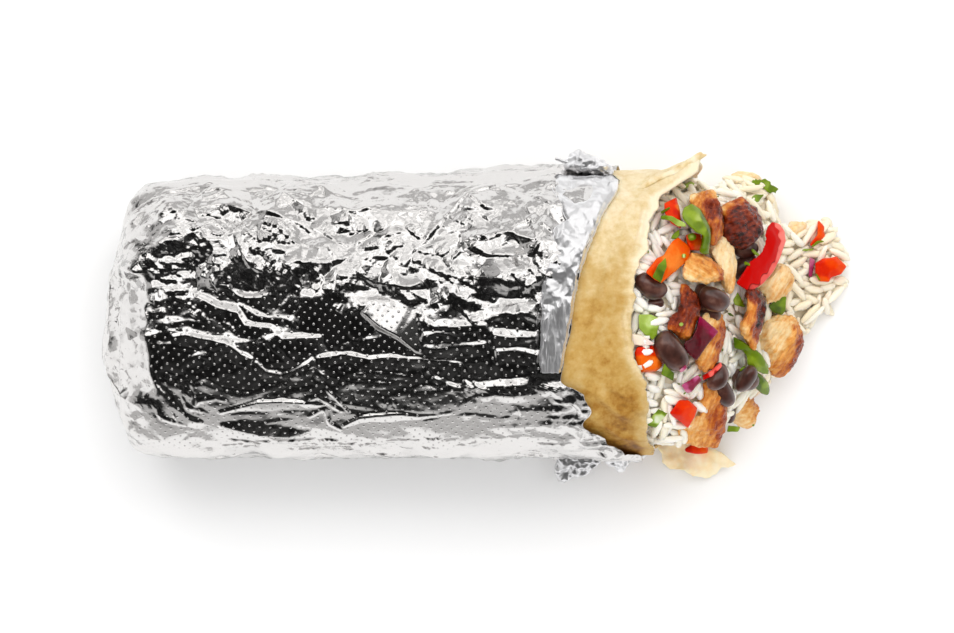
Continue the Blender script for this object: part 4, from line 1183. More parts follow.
def blank(outline, z_mid, thick, slope, taper, crown=0.0, shift=(0.0, 0.0)):
    """A prism under an outline given as camera points: its vertices and faces, mm. With a crown, the top rises to a smaller face."""
    top = z_mid + thick / 2
    rim = plan(outline, top)
    c = rim.mean(0)
    low = c + (rim - c) * taper
    n = len(rim)
    tilt = lambda p: slope[0] * (p[:, 0] - c[0]) + slope[1] * (p[:, 1] - c[1])
    rings = [(rim, top - crown)]
    if crown:
        peak = c + (rim - c) * 0.58 + np.array(shift) * np.ptp(rim, axis=0) * 0.16
        rings.insert(0, (peak, top + 0.15 * crown))
        rings.append((c + (rim - c) * 0.99, top - crown - 0.35 * (thick - crown)))
    rings.append((low, z_mid - thick / 2))
    verts = np.vstack([np.column_stack([r, z + tilt(r)]) for r, z in rings])
    faces = [list(range(n)), list(range(len(rings) * n - 1, (len(rings) - 1) * n - 1, -1))]
    for m in range(len(rings) - 1):
        faces += [[m * n + k, m * n + (k + 1) % n, (m + 1) * n + (k + 1) % n, (m + 1) * n + k] for k in range(n)]
    return verts, faces


def tones_at(v, tones, z_top, sharp=3.0):
    """The tone at each vertex from (camera x, camera y, tone) points."""
    t = np.array(tones, float)
    q = plan(t[:, :2], z_top)
    warp = np.column_stack([noise(v, 1.7, 31), noise(v, 1.7, 32)]) * (0.5 if sharp < 4 else 0.15)
    d = np.hypot(v[:, None, 0] + warp[:, None, 0] - q[None, :, 0], v[:, None, 1] + warp[:, None, 1] - q[None, :, 1])
    w = 1 / (d + 0.25) ** sharp
    return (w * t[None, :, 2]).sum(1) / w.sum(1)


FOOD_TREES = []          # (vertices, faces) of every piece of food, for placing the rice


def ragged(outline, amount, seed):
    """The outline with points a few steps apart, each strayed a little."""
    rng = np.random.default_rng(seed)
    out = []
    for (x0, y0), (x1, y1) in zip(outline, outline[1:] + outline[:1]):
        n = max(1, int(math.hypot(x1 - x0, y1 - y0) / 2.6))
        for k in range(n):
            x, y = rng.uniform(-amount, amount, 2)
            out.append((x0 + (x1 - x0) * k / n + x, y0 + (y1 - y0) * k / n + y))
    return tuple(out)


def make_piece(name, kind, z_mid, thick, angle, outline, tones, slope=None, node=None, heap=None):
    rim = plan(outline, z_mid + thick / 2)
    c = rim.mean(0)
    if slope is None:
        e = 1.5
        slope = ((heap_z(c[0] + e, c[1]) - heap_z(c[0] - e, c[1])) / (2 * e), (heap_z(c[0], c[1] + e) - heap_z(c[0], c[1] - e)) / (2 * e))
        limit = 0.75 if kind != "leaf" else 1.2
        slope = tuple(float(np.clip(v, -limit, limit)) * 0.85 for v in slope)
    voxel, rounds, taper, crown = {"chicken": (0.42, 4, 0.78, 0.26), "pepper": (0.34, 6, 0.9, 0.34), "pepper_red": (0.34, 5, 0.9, 0.3),
                                   "tomato": (0.32, 2, 0.86, 0.16), "onion": (0.32, 2, 0.95, 0.0), "green": (0.26, 2, 0.95, 0.0),
                                   "leaf": (0.2, 2, 1.0, 0.0), "tortilla": (0.34, 3, 0.98, 0.0)}[kind]
    pick = np.random.default_rng(int(hash_of(name)) + 5)
    v, f = remeshed(*blank(outline, z_mid, thick, slope, taper, crown * thick, pick.uniform(-1, 1, 2)), voxel, rounds)
    n = vertex_normals(v, f)
    tone = tones_at(v, tones, z_mid + thick / 2, 3.0 if kind == "chicken" else 6.0)
    a = math.radians(angle)
    along = (v[:, 0] - c[0]) * math.cos(a) + (v[:, 1] - c[1]) * math.sin(a)
    across = -(v[:, 0] - c[0]) * math.sin(a) + (v[:, 1] - c[1]) * math.cos(a)
    fibre = np.column_stack([along / 5.5, across / 0.9, v[:, 2] / 1.6])
    if kind == "chicken":
        seared = smooth(0.55, 0.85, tone)
        h = 0.55 * noise(v, 4.2, 41) + 0.34 * noise(v, 2.1, 42)
        h += (1 - seared) * 0.42 * (0.4 - np.abs(noise(fibre, 1.0, 43)) * 2.0)
        h += (0.10 + 0.30 * seared) * noise(v, 1.15, 44) + 0.10 * noise(v, 0.6, 45)
    elif kind in ("tomato", "onion"):
        h = 0.16 * noise(v, 3.0, 46) + 0.03 * noise(v, 0.9, 47)
        if kind == "onion":
            h += 0.05 * noise(fibre, 1.0, 48)
    elif kind in ("pepper", "pepper_red"):
        h = 0.18 * noise(v, 3.5, 49) + 0.03 * noise(v, 1.2, 50)
    elif kind == "tortilla":
        h = 0.30 * noise(v, 5.0, 51) + 0.12 * noise(v, 1.6, 52)
    else:
        h = 0.10 * noise(v, 1.6, 53)
    v = v + n * h[:, None]
    if kind in ("pepper", "pepper_red"):
        v[:, 2] += 0.12 * ((across / 3) ** 2) * 0
    if name == "tortilla_flap":
        v[:, 2] += 2.2 * np.abs(noise(v, 7.5, 55)) + 0.8 * noise(v, 3.0, 56)
    if kind in ("leaf", "green", "tortilla"):
        v[:, 2] += 0.5 * noise(np.column_stack([v[:, :2], np.zeros(len(v))]), 3.4, 54) * (1.0 if kind != "green" else 0.5)
    v[:, 2] = np.maximum(v[:, 2], 0.15)
    FOOD_TREES.append((v, f))
    if heap is not None:
        heap.setdefault({"leaf": "green"}.get(kind, kind), []).append((v, f, tone, fibre))
        return None
    return finished(name, kind, v, f, tone, fibre, node)


def finished(name, kind, v, f, tone, fibre, node=None):
    mesh = bpy.data.meshes.new(name)
    mesh_from(mesh, v, f)
    ob = bpy.data.objects.new(name, mesh)
    bpy.context.scene.collection.objects.link(ob)
    add_attribute(ob, "tone", tone)
    add_attribute(ob, "fibre", fibre)
    if kind != "tortilla":
        give(ob, FINISH[{"leaf": "green"}.get(kind, kind)])
    show(ob, {"pepper": "pepper_green", "green": "pepper_green", "leaf": "pepper_green"}.get(kind, kind), *([node] if node else []))
    return ob


# ---------------------------------------------------------------- foil: the edge folded back, and its torn parts

COLLAR_LEFT = ((160, 556), (172, 552), (184, 554), (197, 553), (212, 559), (227, 566), (234, 554), (250, 550), (265, 546), (281, 543), (300, 541.5),
               (330, 541), (355, 540.5), (372, 540.5))
COLLAR_RIGHT = ((160, 611), (168, 614), (177, 616), (187, 615), (198, 613.6), (215, 602), (230, 595), (248, 587.6), (265, 581.5), (281, 576),
                (300, 572), (319, 569), (338, 565), (354, 561.7), (372, 558))


def make_collar(finish):
    rows, cols = 330, 90
    py = np.linspace(163, 373.5, rows)
    left = np.interp(py, *zip(*COLLAR_LEFT))
    right = np.interp(py, *zip(*COLLAR_RIGHT))
    line = np.column_stack([py * 0.2, np.zeros(rows), np.zeros(rows)])
    left = left + 1.6 * noise(line, 1.6, 201) + 0.8 * noise(line, 0.5, 202)
    right = right + 2.6 + 1.0 * noise(line, 1.8, 203) + 0.6 * noise(line, 0.5, 204)
    f = np.linspace(0, 1, cols)
    px = left[:, None] + (right - left)[:, None] * f[None]
    z = np.full(px.shape, 55.0)
    PY = np.broadcast_to(py[:, None], px.shape)
    for _ in range(5):
        x = (px - 477) * PX * (CAM_Z - z)
        y = (316.5 - PY) * PX * (CAM_Z - z)
        z = np.interp(-y, -SECTION_Y[_top], SECTION_Z[_top])
    arc = np.interp(-y, -SECTION_Y[_top], SECTION_ARC[_top])
    q = np.stack([x, arc, np.zeros_like(arc)], -1).reshape(-1, 3)
    wx = noise(q, 5.0, 211).reshape(x.shape) * 0.7
    wu = noise(q, 5.0, 212).reshape(x.shape) * 0.7
    crush = 1.55 * SHEET.sample(CREASE_FINE, x + wx, arc + wu) + 0.42 * SHEET.sample(CREASE_UPPER, x * 1.5 + 20 + wx, arc * 1.5 + wu)
    # lower down the wrinkles run round the roll
    s = np.stack([x / 1.5, arc / 9.0, np.zeros_like(arc)], -1).reshape(-1, 3)
    s[:, 0] += 0.5 * noise(q, 7.0, 213)
    streak = (0.55 - np.abs(noise(s, 1.0, 214)) * 1.7).reshape(x.shape) * 0.75
    s2 = np.stack([x / 0.7, arc / 6.0, np.zeros_like(arc)], -1).reshape(-1, 3)
    streak += (0.4 - np.abs(noise(s2, 1.0, 215))).reshape(x.shape) * 0.28
    low = smooth(300, 318, PY)
    h = crush * (1 - low) + (streak + 0.25 * crush) * low
    shoulder = smooth(0, 0.10, f)[None] * smooth(1.0, 0.90, f)[None]
    h = 0.35 + 0.95 * shoulder + h * (0.35 + 0.65 * shoulder)
    h += 0.5 * smooth(200, 170, PY) * shoulder
    # loose edges
    h = np.where(f[None] < 0.02, h * 0.4 + 0.5, h)
    pos = place_on_roll(x, arc, h)
    # the left edge turns under; the right one is the fold itself and turns down to the tortilla
    under_l = [place_on_roll(x[:, k], arc[:, k], h[:, k] - d) for k, d in ((0, 0.35), (5, 0.9))]
    under_r = [place_on_roll(x[:, -1] + dx, arc[:, -1], h[:, -1] - d) for dx, d in ((0.25, 0.5), (0.1, 1.3), (-1.2, 1.9))]
    full = np.concatenate([under_l[1][:, None], under_l[0][:, None], pos] + [u[:, None] for u in under_r], 1)
    full_x = full[..., 0]
    full_arc = np.concatenate([arc[:, :1], arc[:, :1], arc] + [arc[:, -1:]] * 3, 1)
    # and so does the straight end
    end = place_on_roll(x[-1], arc[-1] + 0.15, h[-1] - 0.9)
    last = full[-1:].copy()
    last[0, 2:-3] = end
    full = np.concatenate([full, last], 0)
    full_arc = np.concatenate([full_arc, full_arc[-1:]], 0)
    ob = grid_mesh("foil_fold", full, closed=False, attributes={"sheet": np.stack([full[..., 0], full_arc, 0 * full_arc], -1).reshape(-1, 3),
                                                                  "crush": np.full(full_arc.size, 0.9)})
    faces_up(ob)
    give(ob, finish)
    show(ob, "foil")


def place_on_roll(x, arc, h):
    """Points at height h over the roll's smooth surface, on its upper side."""
    phi = np.interp(arc, SECTION_ARC, _phi)
    y0, z0 = roll_section(x, phi, 0.0)
    e = 0.02
    y1, z1 = roll_section(x, phi + e, 0.0)
    y2, z2 = roll_section(x, phi - e, 0.0)
    ty, tz = y1 - y2, z1 - z2
    length = np.hypot(ty, tz)
    ny, nz = tz / length, -ty / length
    flip = np.sign(ny * (y0 - 0.5) + nz * (z0 - 29.0))
    return np.stack([x, y0 + ny * flip * h, z0 + nz * flip * h], -1)


def faces_up(ob):
    """Turns a sheet's faces towards the camera side."""
    face = np.zeros(len(ob.data.polygons) * 3, np.float32)
    ob.data.polygons.foreach_get("normal", face)
    if face.reshape(-1, 3)[:, 2].sum() < 0:
        ob.data.flip_normals()


# Crushed parts that stand clear: outline as camera points, height of the middle, thickness, slope, how crushed
FOIL_TORN = {
    "foil_lump": (((566, 168), (566, 161), (571, 153), (579, 150.5), (587, 154), (596, 157.5), (605, 161.5), (612, 167.5),
                   (613, 174), (604, 176), (590, 172), (576, 172)), 40.0, 13.0, (0.0, -0.4), 1.0),
    "foil_sliver": (((554, 159), (557, 156.6), (566, 159.5), (574, 163), (572, 166), (563, 162.5)), 44.0, 1.2, (0.0, 0.0), 0.3),
    "foil_tab": (((556, 458), (555, 468), (556.5, 476), (560, 482.5), (564, 482), (568, 478.5), (574, 477), (582, 476), (586, 473.5), (592, 468.5),
                  (600, 461), (612, 452), (598, 446), (570, 448)), 12.0, 5.0, (0.05, 0.55), 1.1),
    "foil_tab_low": (((596, 452), (600, 459), (609, 464.5), (617, 470.5), (622, 472), (627, 469), (632, 462.5), (640, 460), (646, 455), (640, 450),
                      (622, 446), (606, 440)), 16.0, 4.0, (0.05, 0.75), 0.9),
}


def make_torn(finish):
    for k, (name, (outline, z_mid, thick, slope, crush)) in enumerate(FOIL_TORN.items()):
        v, f = remeshed(*blank(outline, z_mid, thick, slope, 0.85, 0.2 * thick), 0.36, 1)
        n = vertex_normals(v, f)
        w = v + np.column_stack([noise(v, 4.0, 221), noise(v, 4.0, 222), noise(v, 4.0, 223)]) * 0.8
        ridged = 0.5 - np.abs(noise(w, 3.4, 224)) * 2.0 + 0.55 * (0.5 - np.abs(noise(w, 1.7, 225)) * 2.0)
        h = crush * (0.75 * ridged + 0.25 * noise(w, 1.0, 226))
        v = v + n * h[:, None]
        v[:, 2] = np.maximum(v[:, 2], 0.1)
        mesh = bpy.data.meshes.new(name)
        mesh_from(mesh, v, f)
        ob = bpy.data.objects.new(name, mesh)
        bpy.context.scene.collection.objects.link(ob)
        add_attribute(ob, "sheet", np.column_stack([v[:, 0], v[:, 1] - v[:, 2], np.zeros(len(v))]))
        add_attribute(ob, "crush", np.full(len(v), 0.8))
        give(ob, finish)
        show(ob, "foil")


make_collar(bpy.data.materials["foil"])
make_torn(bpy.data.materials["foil"])


# ---------------------------------------------------------------- food: materials

def toned_material(name, stops, rough, patch=0.12, patch_size=1.2, streak=0.0, scatter=0.2, coat=0.0, top=1.0, bumps=0.12):
    """A finish whose colour follows the tone attribute, with patches and fibres."""
    made, tree, shader = node_material(name)
    n = Nodes(tree)
    place = n.object_mm()
    tone = n.attribute("tone")
    spots = n.noise(place, 1 / patch_size, detail=4, rough=0.62)
    level = n.math("MULTIPLY_ADD", n.math("SUBTRACT", spots, 0.5), patch * 2.2, tone)
    if streak:
        lines = n.noise(n.attribute("fibre", vector=True), 1.0, detail=2)
        level = n.math("MULTIPLY_ADD", n.math("SUBTRACT", lines, 0.5), streak * 2.2, level)
    level = n.math("DIVIDE", level, top)
    colour = n.ramp(level, [(place_, linear(*c)) for place_, c in stops])
    n.link(colour, shader.inputs["Base Color"])
    if isinstance(rough, tuple):
        n.link(n.remap(level, rough[0], rough[1], rough[2], rough[3]), shader.inputs["Roughness"])
    else:
        shader.inputs["Roughness"].default_value = rough
    shader.inputs["Specular IOR Level"].default_value = 0.15 if name in ("tomato", "pepper_red") else 0.35
    shader.inputs["Subsurface Weight"].default_value = scatter
    shader.inputs["Subsurface Radius"].default_value = (1.0, 0.45, 0.25)
    shader.inputs["Subsurface Scale"].default_value = 0.0016
    if coat:
        shader.inputs["Coat Weight"].default_value = coat
        shader.inputs["Coat Roughness"].default_value = 0.12
    fine = n.noise(place, 2.2, detail=4, rough=0.65)
    n.link(n.bump(fine, 0.6, bumps), shader.inputs["Normal"])
    return made


FINISH = {
    "chicken": toned_material("chicken", ((0.0, (255, 230, 186)), (0.16, (250, 212, 152)), (0.33, (236, 170, 88)), (0.50, (208, 122, 42)),
                                          (0.66, (162, 68, 14)), (0.80, (124, 40, 8)), (0.92, (84, 22, 5)), (1.0, (38, 14, 6))),
                              (0.4, 0.85, 0.48, 0.22), patch=0.20, patch_size=1.1, streak=0.24, scatter=0.08, coat=0.18, bumps=0.55),
    "tomato": toned_material("tomato", ((0.0, (196, 16, 0)), (0.35, (226, 52, 0)), (0.7, (232, 100, 8)), (1.0, (238, 146, 60))),
                             0.3, patch=0.16, patch_size=1.6, scatter=0.1, coat=0.0, bumps=0.1),
    "pepper_red": toned_material("pepper_red", ((0.0, (190, 4, 0)), (0.34, (204, 6, 0)), (0.43, (120, 0, 0)), (0.52, (226, 78, 70)), (1.0, (240, 124, 112))), 0.3, patch=0.05, scatter=0.05,
                                 coat=0.0, bumps=0.03),
    "pepper": toned_material("pepper_green", ((0.0, (60, 84, 0)), (0.3, (100, 124, 2)), (0.55, (138, 160, 34)), (1.0, (194, 208, 122))), 0.26,
                             patch=0.10, scatter=0.1, coat=0.2, bumps=0.04),
    "green": toned_material("green", ((0.0, (52, 76, 0)), (0.4, (116, 142, 14)), (0.72, (172, 196, 96)), (1.0, (224, 230, 200))), 0.4,
                            patch=0.12, patch_size=0.9, scatter=0.1, top=1.25, bumps=0.1),
    "onion": toned_material("onion", ((0.0, (64, 0, 10)), (0.1, (92, 4, 22)), (0.38, (132, 0, 52)), (0.55, (176, 70, 118)), (0.78, (226, 196, 200)),
                                      (1.0, (238, 222, 200))), 0.25, patch=0.05, streak=0.06, scatter=0.2, coat=0.35, top=1.3, bumps=0.03),
}


def bean_material():
    made, tree, shader = node_material("bean")
    n = Nodes(tree)
    place = n.object_mm()
    spots = n.noise(place, 0.35, detail=3)
    n.link(n.ramp(spots, [(0.3, linear(44, 22, 16)), (0.55, linear(74, 42, 34)), (0.75, linear(108, 74, 62))]), shader.inputs["Base Color"])
    shader.inputs["Roughness"].default_value = 0.34
    shader.inputs["Coat Weight"].default_value = 0.5
    shader.inputs["Coat Roughness"].default_value = 0.16
    n.link(n.bump(n.noise(place, 1.6, detail=3), 0.4, 0.08), shader.inputs["Normal"])
    return made


def rice_material(name, shade=1.0):
    made, tree, shader = node_material(name)
    n = Nodes(tree)
    place = n.object_mm()
    tint = n.attribute("tint")
    cloudy = n.noise(place, 0.8, detail=2)
    level = n.math("MULTIPLY_ADD", n.math("SUBTRACT", cloudy, 0.5), 0.35, tint)
    stops = [(0.0, (253, 248, 238)), (0.45, (252, 243, 224)), (1.0, (249, 233, 203))]
    stops = [(at_, tuple(v * shade for v in linear(*c))) for at_, c in stops]
    n.link(n.ramp(level, stops), shader.inputs["Base Color"])
    shader.inputs["Roughness"].default_value = 0.36
    shader.inputs["Subsurface Weight"].default_value = 0.35
    shader.inputs["Subsurface Radius"].default_value = (1.0, 0.85, 0.65)
    shader.inputs["Subsurface Scale"].default_value = 0.0012
    n.link(n.bump(n.noise(place, 1.5, detail=2), 0.3, 0.06), shader.inputs["Normal"])
    return made


# ---------------------------------------------------------------- food: pieces

# Beans: middle, (tilt x, tilt y, turn z) in degrees, length, width, thickness
BEANS = {
    "bean_a": ((44.9, 7.9, 55.2), (0, 8, -32), (9.0, 6.2, 5.6)),
    "bean_b": ((61.8, 4.5, 48.2), (0, 18, -24), (8.6, 6.4, 6.0)),
    "bean_c": ((50.3, -9.0, 53.6), (0, 10, -54), (11.6, 7.6, 6.6)),
    "bean_d": ((63.0, -15.8, 42.6), (0, 20, 66), (7.8, 5.4, 4.8)),
    "bean_e": ((64.8, -20.0, 36.6), (0, 20, -62), (8.4, 5.6, 5.0)),
    "bean_f": ((71.2, -16.6, 29.0), (0, 20, -20), (7.8, 5.6, 5.0)),
}


def turn(v, degrees):
    from mathutils import Euler
    m = np.array(Euler([math.radians(d) for d in degrees]).to_matrix())
    return v @ m.T


def make_bean(name, centre, tilt, size, finish, whole=True):
    rows, cols = 34, 40
    th = np.linspace(0.001, math.pi - 0.001, rows)[:, None]
    ph = np.linspace(0, 2 * math.pi, cols, endpoint=False)[None]
    x = -np.cos(th) * np.ones_like(ph)
    r = np.sin(th) ** 0.86
    y = r * np.cos(ph)
    z = r * np.sin(ph)
    y = y + 0.20 * x * x - 0.09
    # the dimple of the inner edge, with the small eye in it
    d = np.hypot(x * 1.3, z * 1.8)
    y = y + np.where(y < 0, 0.10 * np.exp(-(d / 0.42) ** 2), 0)
    p = np.stack([x * size[0] / 2, y * size[1] / 2, z * size[2] / 2], -1).reshape(-1, 3)
    p = p * (1 + 0.035 * noise(p + hash_of(name), 3.2, 61)[:, None])
    p = turn(p, tilt) + np.array(centre)
    p = p.reshape(rows, cols, 3)
    ob = grid_mesh(name, p, closed=True)
    bm = bmesh.new()
    bm.from_mesh(ob.data)
    bmesh.ops.holes_fill(bm, edges=[e for e in bm.edges if e.is_boundary])
    bmesh.ops.recalc_face_normals(bm, faces=bm.faces)
    bm.to_mesh(ob.data)
    bm.free()
    ob.data.polygons.foreach_set("use_smooth", np.ones(len(ob.data.polygons), bool))
    give(ob, finish)
    if whole:
        show(ob, "bean", name)
    v = p.reshape(-1, 3)
    r, c = np.meshgrid(np.arange(rows - 1), np.arange(cols), indexing="ij")
    c1 = (c + 1) % cols
    FOOD_TREES.append((v, np.stack([r * cols + c, r * cols + c1, (r + 1) * cols + c1, (r + 1) * cols + c], -1).reshape(-1, 4)))
    return ob


def hash_of(name):
    return float(sum(ord(c) * (k + 3) for k, c in enumerate(name)) % 97)


def make_pieces():
    for name, (kind, z, thick, angle, outline, tones) in PIECES.items():
        make_piece(name, kind, z, thick, angle, outline, tones, node=name)
    bean = bean_material()
    for name, (centre, tilt, size) in BEANS.items():
        make_bean(name, centre, tilt, size, bean)
    # bits of bean deep between the pieces, in one mesh
    bits = []
    for k, (px, py, z, length) in enumerate(((745.5, 249, 33, 7.0), (744, 266, 31, 8.5), (702.5, 297, 46.5, 7.0), (709.5, 311, 45, 7.0),
                                             (652.5, 304, 52.5, 6.0), (746, 378.5, 31.5, 8.0), (728.5, 412, 22, 6.0))):
        x, y = plan([(px, py)], z)[0]
        bits.append(make_bean("bean_bit_%d" % k, (x, y, z), (20 * k, 10, 47 * k), (length, length * 0.68, length * 0.6), bean, False))
    bm = bmesh.new()
    for ob in bits:
        bm.from_mesh(ob.data)
        bpy.data.objects.remove(ob)
    mesh = bpy.data.meshes.new("bean_bits")
    bm.to_mesh(mesh)
    bm.free()
    mesh.polygons.foreach_set("use_smooth", np.ones(len(mesh.polygons), bool))
    ob = bpy.data.objects.new("bean_bits", mesh)
    bpy.context.scene.collection.objects.link(ob)
    give(ob, bean)
    show(ob, "bean")
    # small things lie on whatever is under them
    tree = food_tree()
    heap = {}
    for name, (kind, lift, thick, angle, outline, tones) in SMALL.items():
        z = 30.0
        for _ in range(5):
            rim = plan(outline, z)
            c = rim.mean(0)
            spots = np.vstack([c + (rim - c) * f for f in (0.9, 0.45)] + [c[None]])
            tops = []
            for x, y in spots:
                hit = tree.ray_cast(Vector((x, y, 90)), Vector((0, 0, -1)), 90)
                tops.append(max(float(heap_z(x, y)) + 0.4, hit[0].z if hit[0] is not None else 0.0))
            fit = np.linalg.lstsq(np.column_stack([spots - c, np.ones(len(spots))]), np.array(tops), rcond=None)[0]
            fit[:2] = np.clip(fit[:2], -0.6, 0.6)
            over = np.array(tops) - (spots - c) @ fit[:2] - fit[2]
            z = float(fit[2] + 0.6 * max(over.max(), 0) + 0.25 * lift + (1.3 if min(tops) > 6 else 0.3))
        if kind == "leaf" and len(outline) > 8:
            outline = ragged(outline, 0.7, 3)
        make_piece(name, kind, z - thick / 2, thick, angle, outline, tones, slope=(float(fit[0]), float(fit[1])), heap=heap)
    for kind, parts in heap.items():
        v, f, tone, fibre = [np.concatenate([part[k] for part in parts]) for k in range(4)]
        start = np.repeat(np.cumsum([0] + [len(part[0]) for part in parts[:-1]]), [len(part[1]) for part in parts])
        finished("small_" + kind, kind, v, f + start[:, None], tone, fibre)


def food_tree():
    from mathutils.bvhtree import BVHTree
    verts, faces, n0 = [], [], 0
    for v, f in FOOD_TREES:
        verts.append(v)
        faces.append(f + n0)
        n0 += len(v)
    verts, faces = np.vstack(verts), np.vstack(faces)
    return BVHTree.FromPolygons([Vector(q) for q in verts.tolist()], [tuple(dict.fromkeys(f)) for f in faces.tolist()])


# ---------------------------------------------------------------- food: rice

def grain_form():
    """One grain 1 long and 1 across, along x: rings of vertices."""
    u = np.array([-1, -0.86, -0.45, 0.25, 0.80, 1.0])
    r = np.clip(1 - np.abs(u) ** 3.0, 0, 1) ** 0.5
    r[0], r[-1] = 0.22, 0.28
    a = np.linspace(0, 2 * math.pi, 6, endpoint=False)
    x = np.repeat((u * 0.5)[:, None], 6, 1)
    y = r[:, None] * np.cos(a)[None] * 0.5
    z = r[:, None] * np.sin(a)[None] * 0.5
    return np.stack([x, y, z], -1)


# How far the rice reaches, seen from above, on the +Y and -Y sides
HEAP_ABOVE = ((600, 690, 716, 722, 732, 752, 768, 774, 778, 790, 800, 815, 822, 832, 838, 849, 856),
              (150, 178, 190, 177, 173, 173, 186, 204, 219, 227, 223, 222, 218, 218, 238, 250, 300))
HEAP_BELOW = ((600, 700, 722, 745, 770, 790, 800, 812, 833, 840, 850), (470, 462, 430, 402, 392, 352, 336, 332, 319, 293, 281))


def make_rice():
    tree = food_tree()
    rng = np.random.default_rng(77)

    def inside(p):
        """How deep point p is in a piece of food, mm; negative outside."""
        place, normal, _, dist = tree.find_nearest(Vector(p), 3.0)
        if place is None:
            return -9.0
        return dist if (Vector(p) - place).dot(normal) < 0 else -dist

    taken = np.zeros((0, 3))
    grains = []            # centre, direction, up, length, width, bend, tint

    def try_grain(c, d, up, length, width, room, sunk, tint, bend):
        nonlocal taken
        s = np.linspace(-0.40, 0.40, 5)
        pts = c[None] + d[None] * (s * length)[:, None]
        if sunk is not None:
            depth = max(inside(q) for q in pts)
            if depth > sunk:
                return False
            # nothing lies right over a piece of food
            over = 0
            for q in pts[1:4:1 if sunk < 0.3 else 2]:
                hit = tree.ray_cast(Vector(q), Vector((0, 0, -1)), 6.0)
                if hit[0] is not None and hit[1].z > 0 and hit[3] < 4.0:
                    over += 1
            if over > 1:
                return False
        if room > 0 and len(taken):
            near = taken[np.abs(taken - c).max(1) < 7.0]
            if len(near) and np.linalg.norm(near[None] - pts[:, None], axis=-1).min() < room:
                return False
        if pts[:, 2].min() < 0.9:
            return False
        # the heap's outline from above
        px = 477 + pts[:, 0] / (PX * (CAM_Z - pts[:, 2]))
        py = 316.5 - pts[:, 1] / (PX * (CAM_Z - pts[:, 2]))
        if (py < np.interp(px, *HEAP_ABOVE)).any() or (py > np.interp(px, *HEAP_BELOW)).any():
            return False
        taken = np.vstack([taken, pts])
        grains.append((c, d, up, length, width, bend, tint))
        return True

    def frame_of(n, angle, tilt):
        """A direction in the surface with normal n, at a plan angle, and tipped out of it."""
        d = np.array([math.cos(angle), math.sin(angle), 0.0])
        d = d - n * d.dot(n)
        d /= max(np.linalg.norm(d), 1e-6)
        d = d * math.cos(tilt) + n * math.sin(tilt)
        up = n - d * d.dot(n)
        return d, up / max(np.linalg.norm(up), 1e-6)

    def normal_at(x, y):
        e = 1.2
        gx = (heap_z(x + e, y) - heap_z(x - e, y)) / (2 * e)
        gy = (heap_z(x, y + e) - heap_z(x, y - e)) / (2 * e)
        n = np.array([-np.clip(gx, -1.4, 1.4), -np.clip(gy, -1.4, 1.4), 1.0])
        return n / np.linalg.norm(n)

    # the ones that stand out
    for px, py, angle, length in GRAINS:
        z = 30.0
        for _ in range(5):
            x, y = plan([(px, py)], z)[0]
            middle, half, _, _ = heap_at(x)
            z = float(heap_z(x, y)) + 0.6 if abs(y - middle) < half and x < 98.6 else 1.25
        n = normal_at(x, y) if z > 1.3 else np.array([0, 0, 1.0])
        d, up = frame_of(n, math.radians(angle), 0.0)
        length = length * PX * (CAM_Z - z) / max(0.55, math.hypot(d[0], d[1]))
        c = np.array([x, y, z])
        for lift in (0.0, 0.8, 1.6, 2.4):
            if try_grain(c + n * lift, d, up, min(length, 10.5), rng.uniform(2.1, 2.6), 0.0, 0.6, cream(x, y, rng), rng.uniform(-0.4, 0.4)):
                break

    # the rest, from the deepest layer up
    for depth, tries, room in ((-1.6, 3500, 1.6), (-0.7, 9000, 1.25), (0.2, 16000, 1.15), (1.0, 12000, 1.2)):
        x = rng.uniform(40, 98.4, tries)
        phi = rng.uniform(math.radians(-38), math.radians(218), tries)
        p = heap_point(x, phi)
        n = heap_normal(x, phi)
        n = np.where((n * (p - np.stack([x, *heap_at(x)[0:1], np.full(tries, 15.0)], -1))).sum(1)[:, None] < 0, -n, n)
        keep = (p[:, 2] > 1.0)
        for k in np.nonzero(keep)[0]:
            if len(grains) > 1500:
                break
            length = rng.uniform(5.6, 9.2)
            a = rng.uniform(0, 2 * math.pi)
            t1 = np.cross(n[k], [0.31, 0.2, 0.93])
            t1 /= np.linalg.norm(t1)
            t2 = np.cross(n[k], t1)
            d = t1 * math.cos(a) + t2 * math.sin(a)
            tip = rng.normal(0, 0.16)
            d = d * math.cos(tip) + n[k] * math.sin(tip)
            up = n[k] - d * d.dot(n[k])
            up /= np.linalg.norm(up)
            c = p[k] + n[k] * (depth + rng.uniform(-0.4, 0.4))
            c[2] = max(c[2], 1.2)
            roll = roll_section(np.array([c[0]]), np.array([math.pi / 2]), 4.6)[1][0]
            if c[0] < 52 and c[2] > roll:
                continue
            try_grain(c, d, up, length, rng.uniform(1.95, 2.6), room, 0.9, cream(c[0], c[1], rng), rng.uniform(-0.5, 0.5))

    # a few that slid on to the table round the far end
    for px, py in ((796, 228), (810, 226), (845, 252), (844, 276), (838, 290), (824, 300), (808, 296), (790, 312), (806, 312), (828, 308), (816, 240),
                   (768, 204), (786, 236), (836, 240), (760, 182), (741, 177), (733, 190), (726, 181), (748, 196), (812, 322), (800, 262), (840, 264)):
        x, y = plan([(px, py)], 2.0)[0]
        for k in range(3):
            q = np.array([x, y, 1.3 + 1.3 * (k == 2)]) + np.append(rng.uniform(-2.2, 2.2, 2), 0)
            q[0] = min(q[0], 97.5)
            a = rng.uniform(0, math.pi)
            d = np.array([math.cos(a), math.sin(a), rng.uniform(-0.06, 0.06)])
            d /= np.linalg.norm(d)
            up = np.array([0, 0, 1.0]) - d * d[2]
            try_grain(q, d, up / np.linalg.norm(up), rng.uniform(6.0, 9.0), rng.uniform(2.2, 2.7), 1.2, 0.4, 0.6 + 0.25 * rng.random(), rng.uniform(-0.4, 0.4))

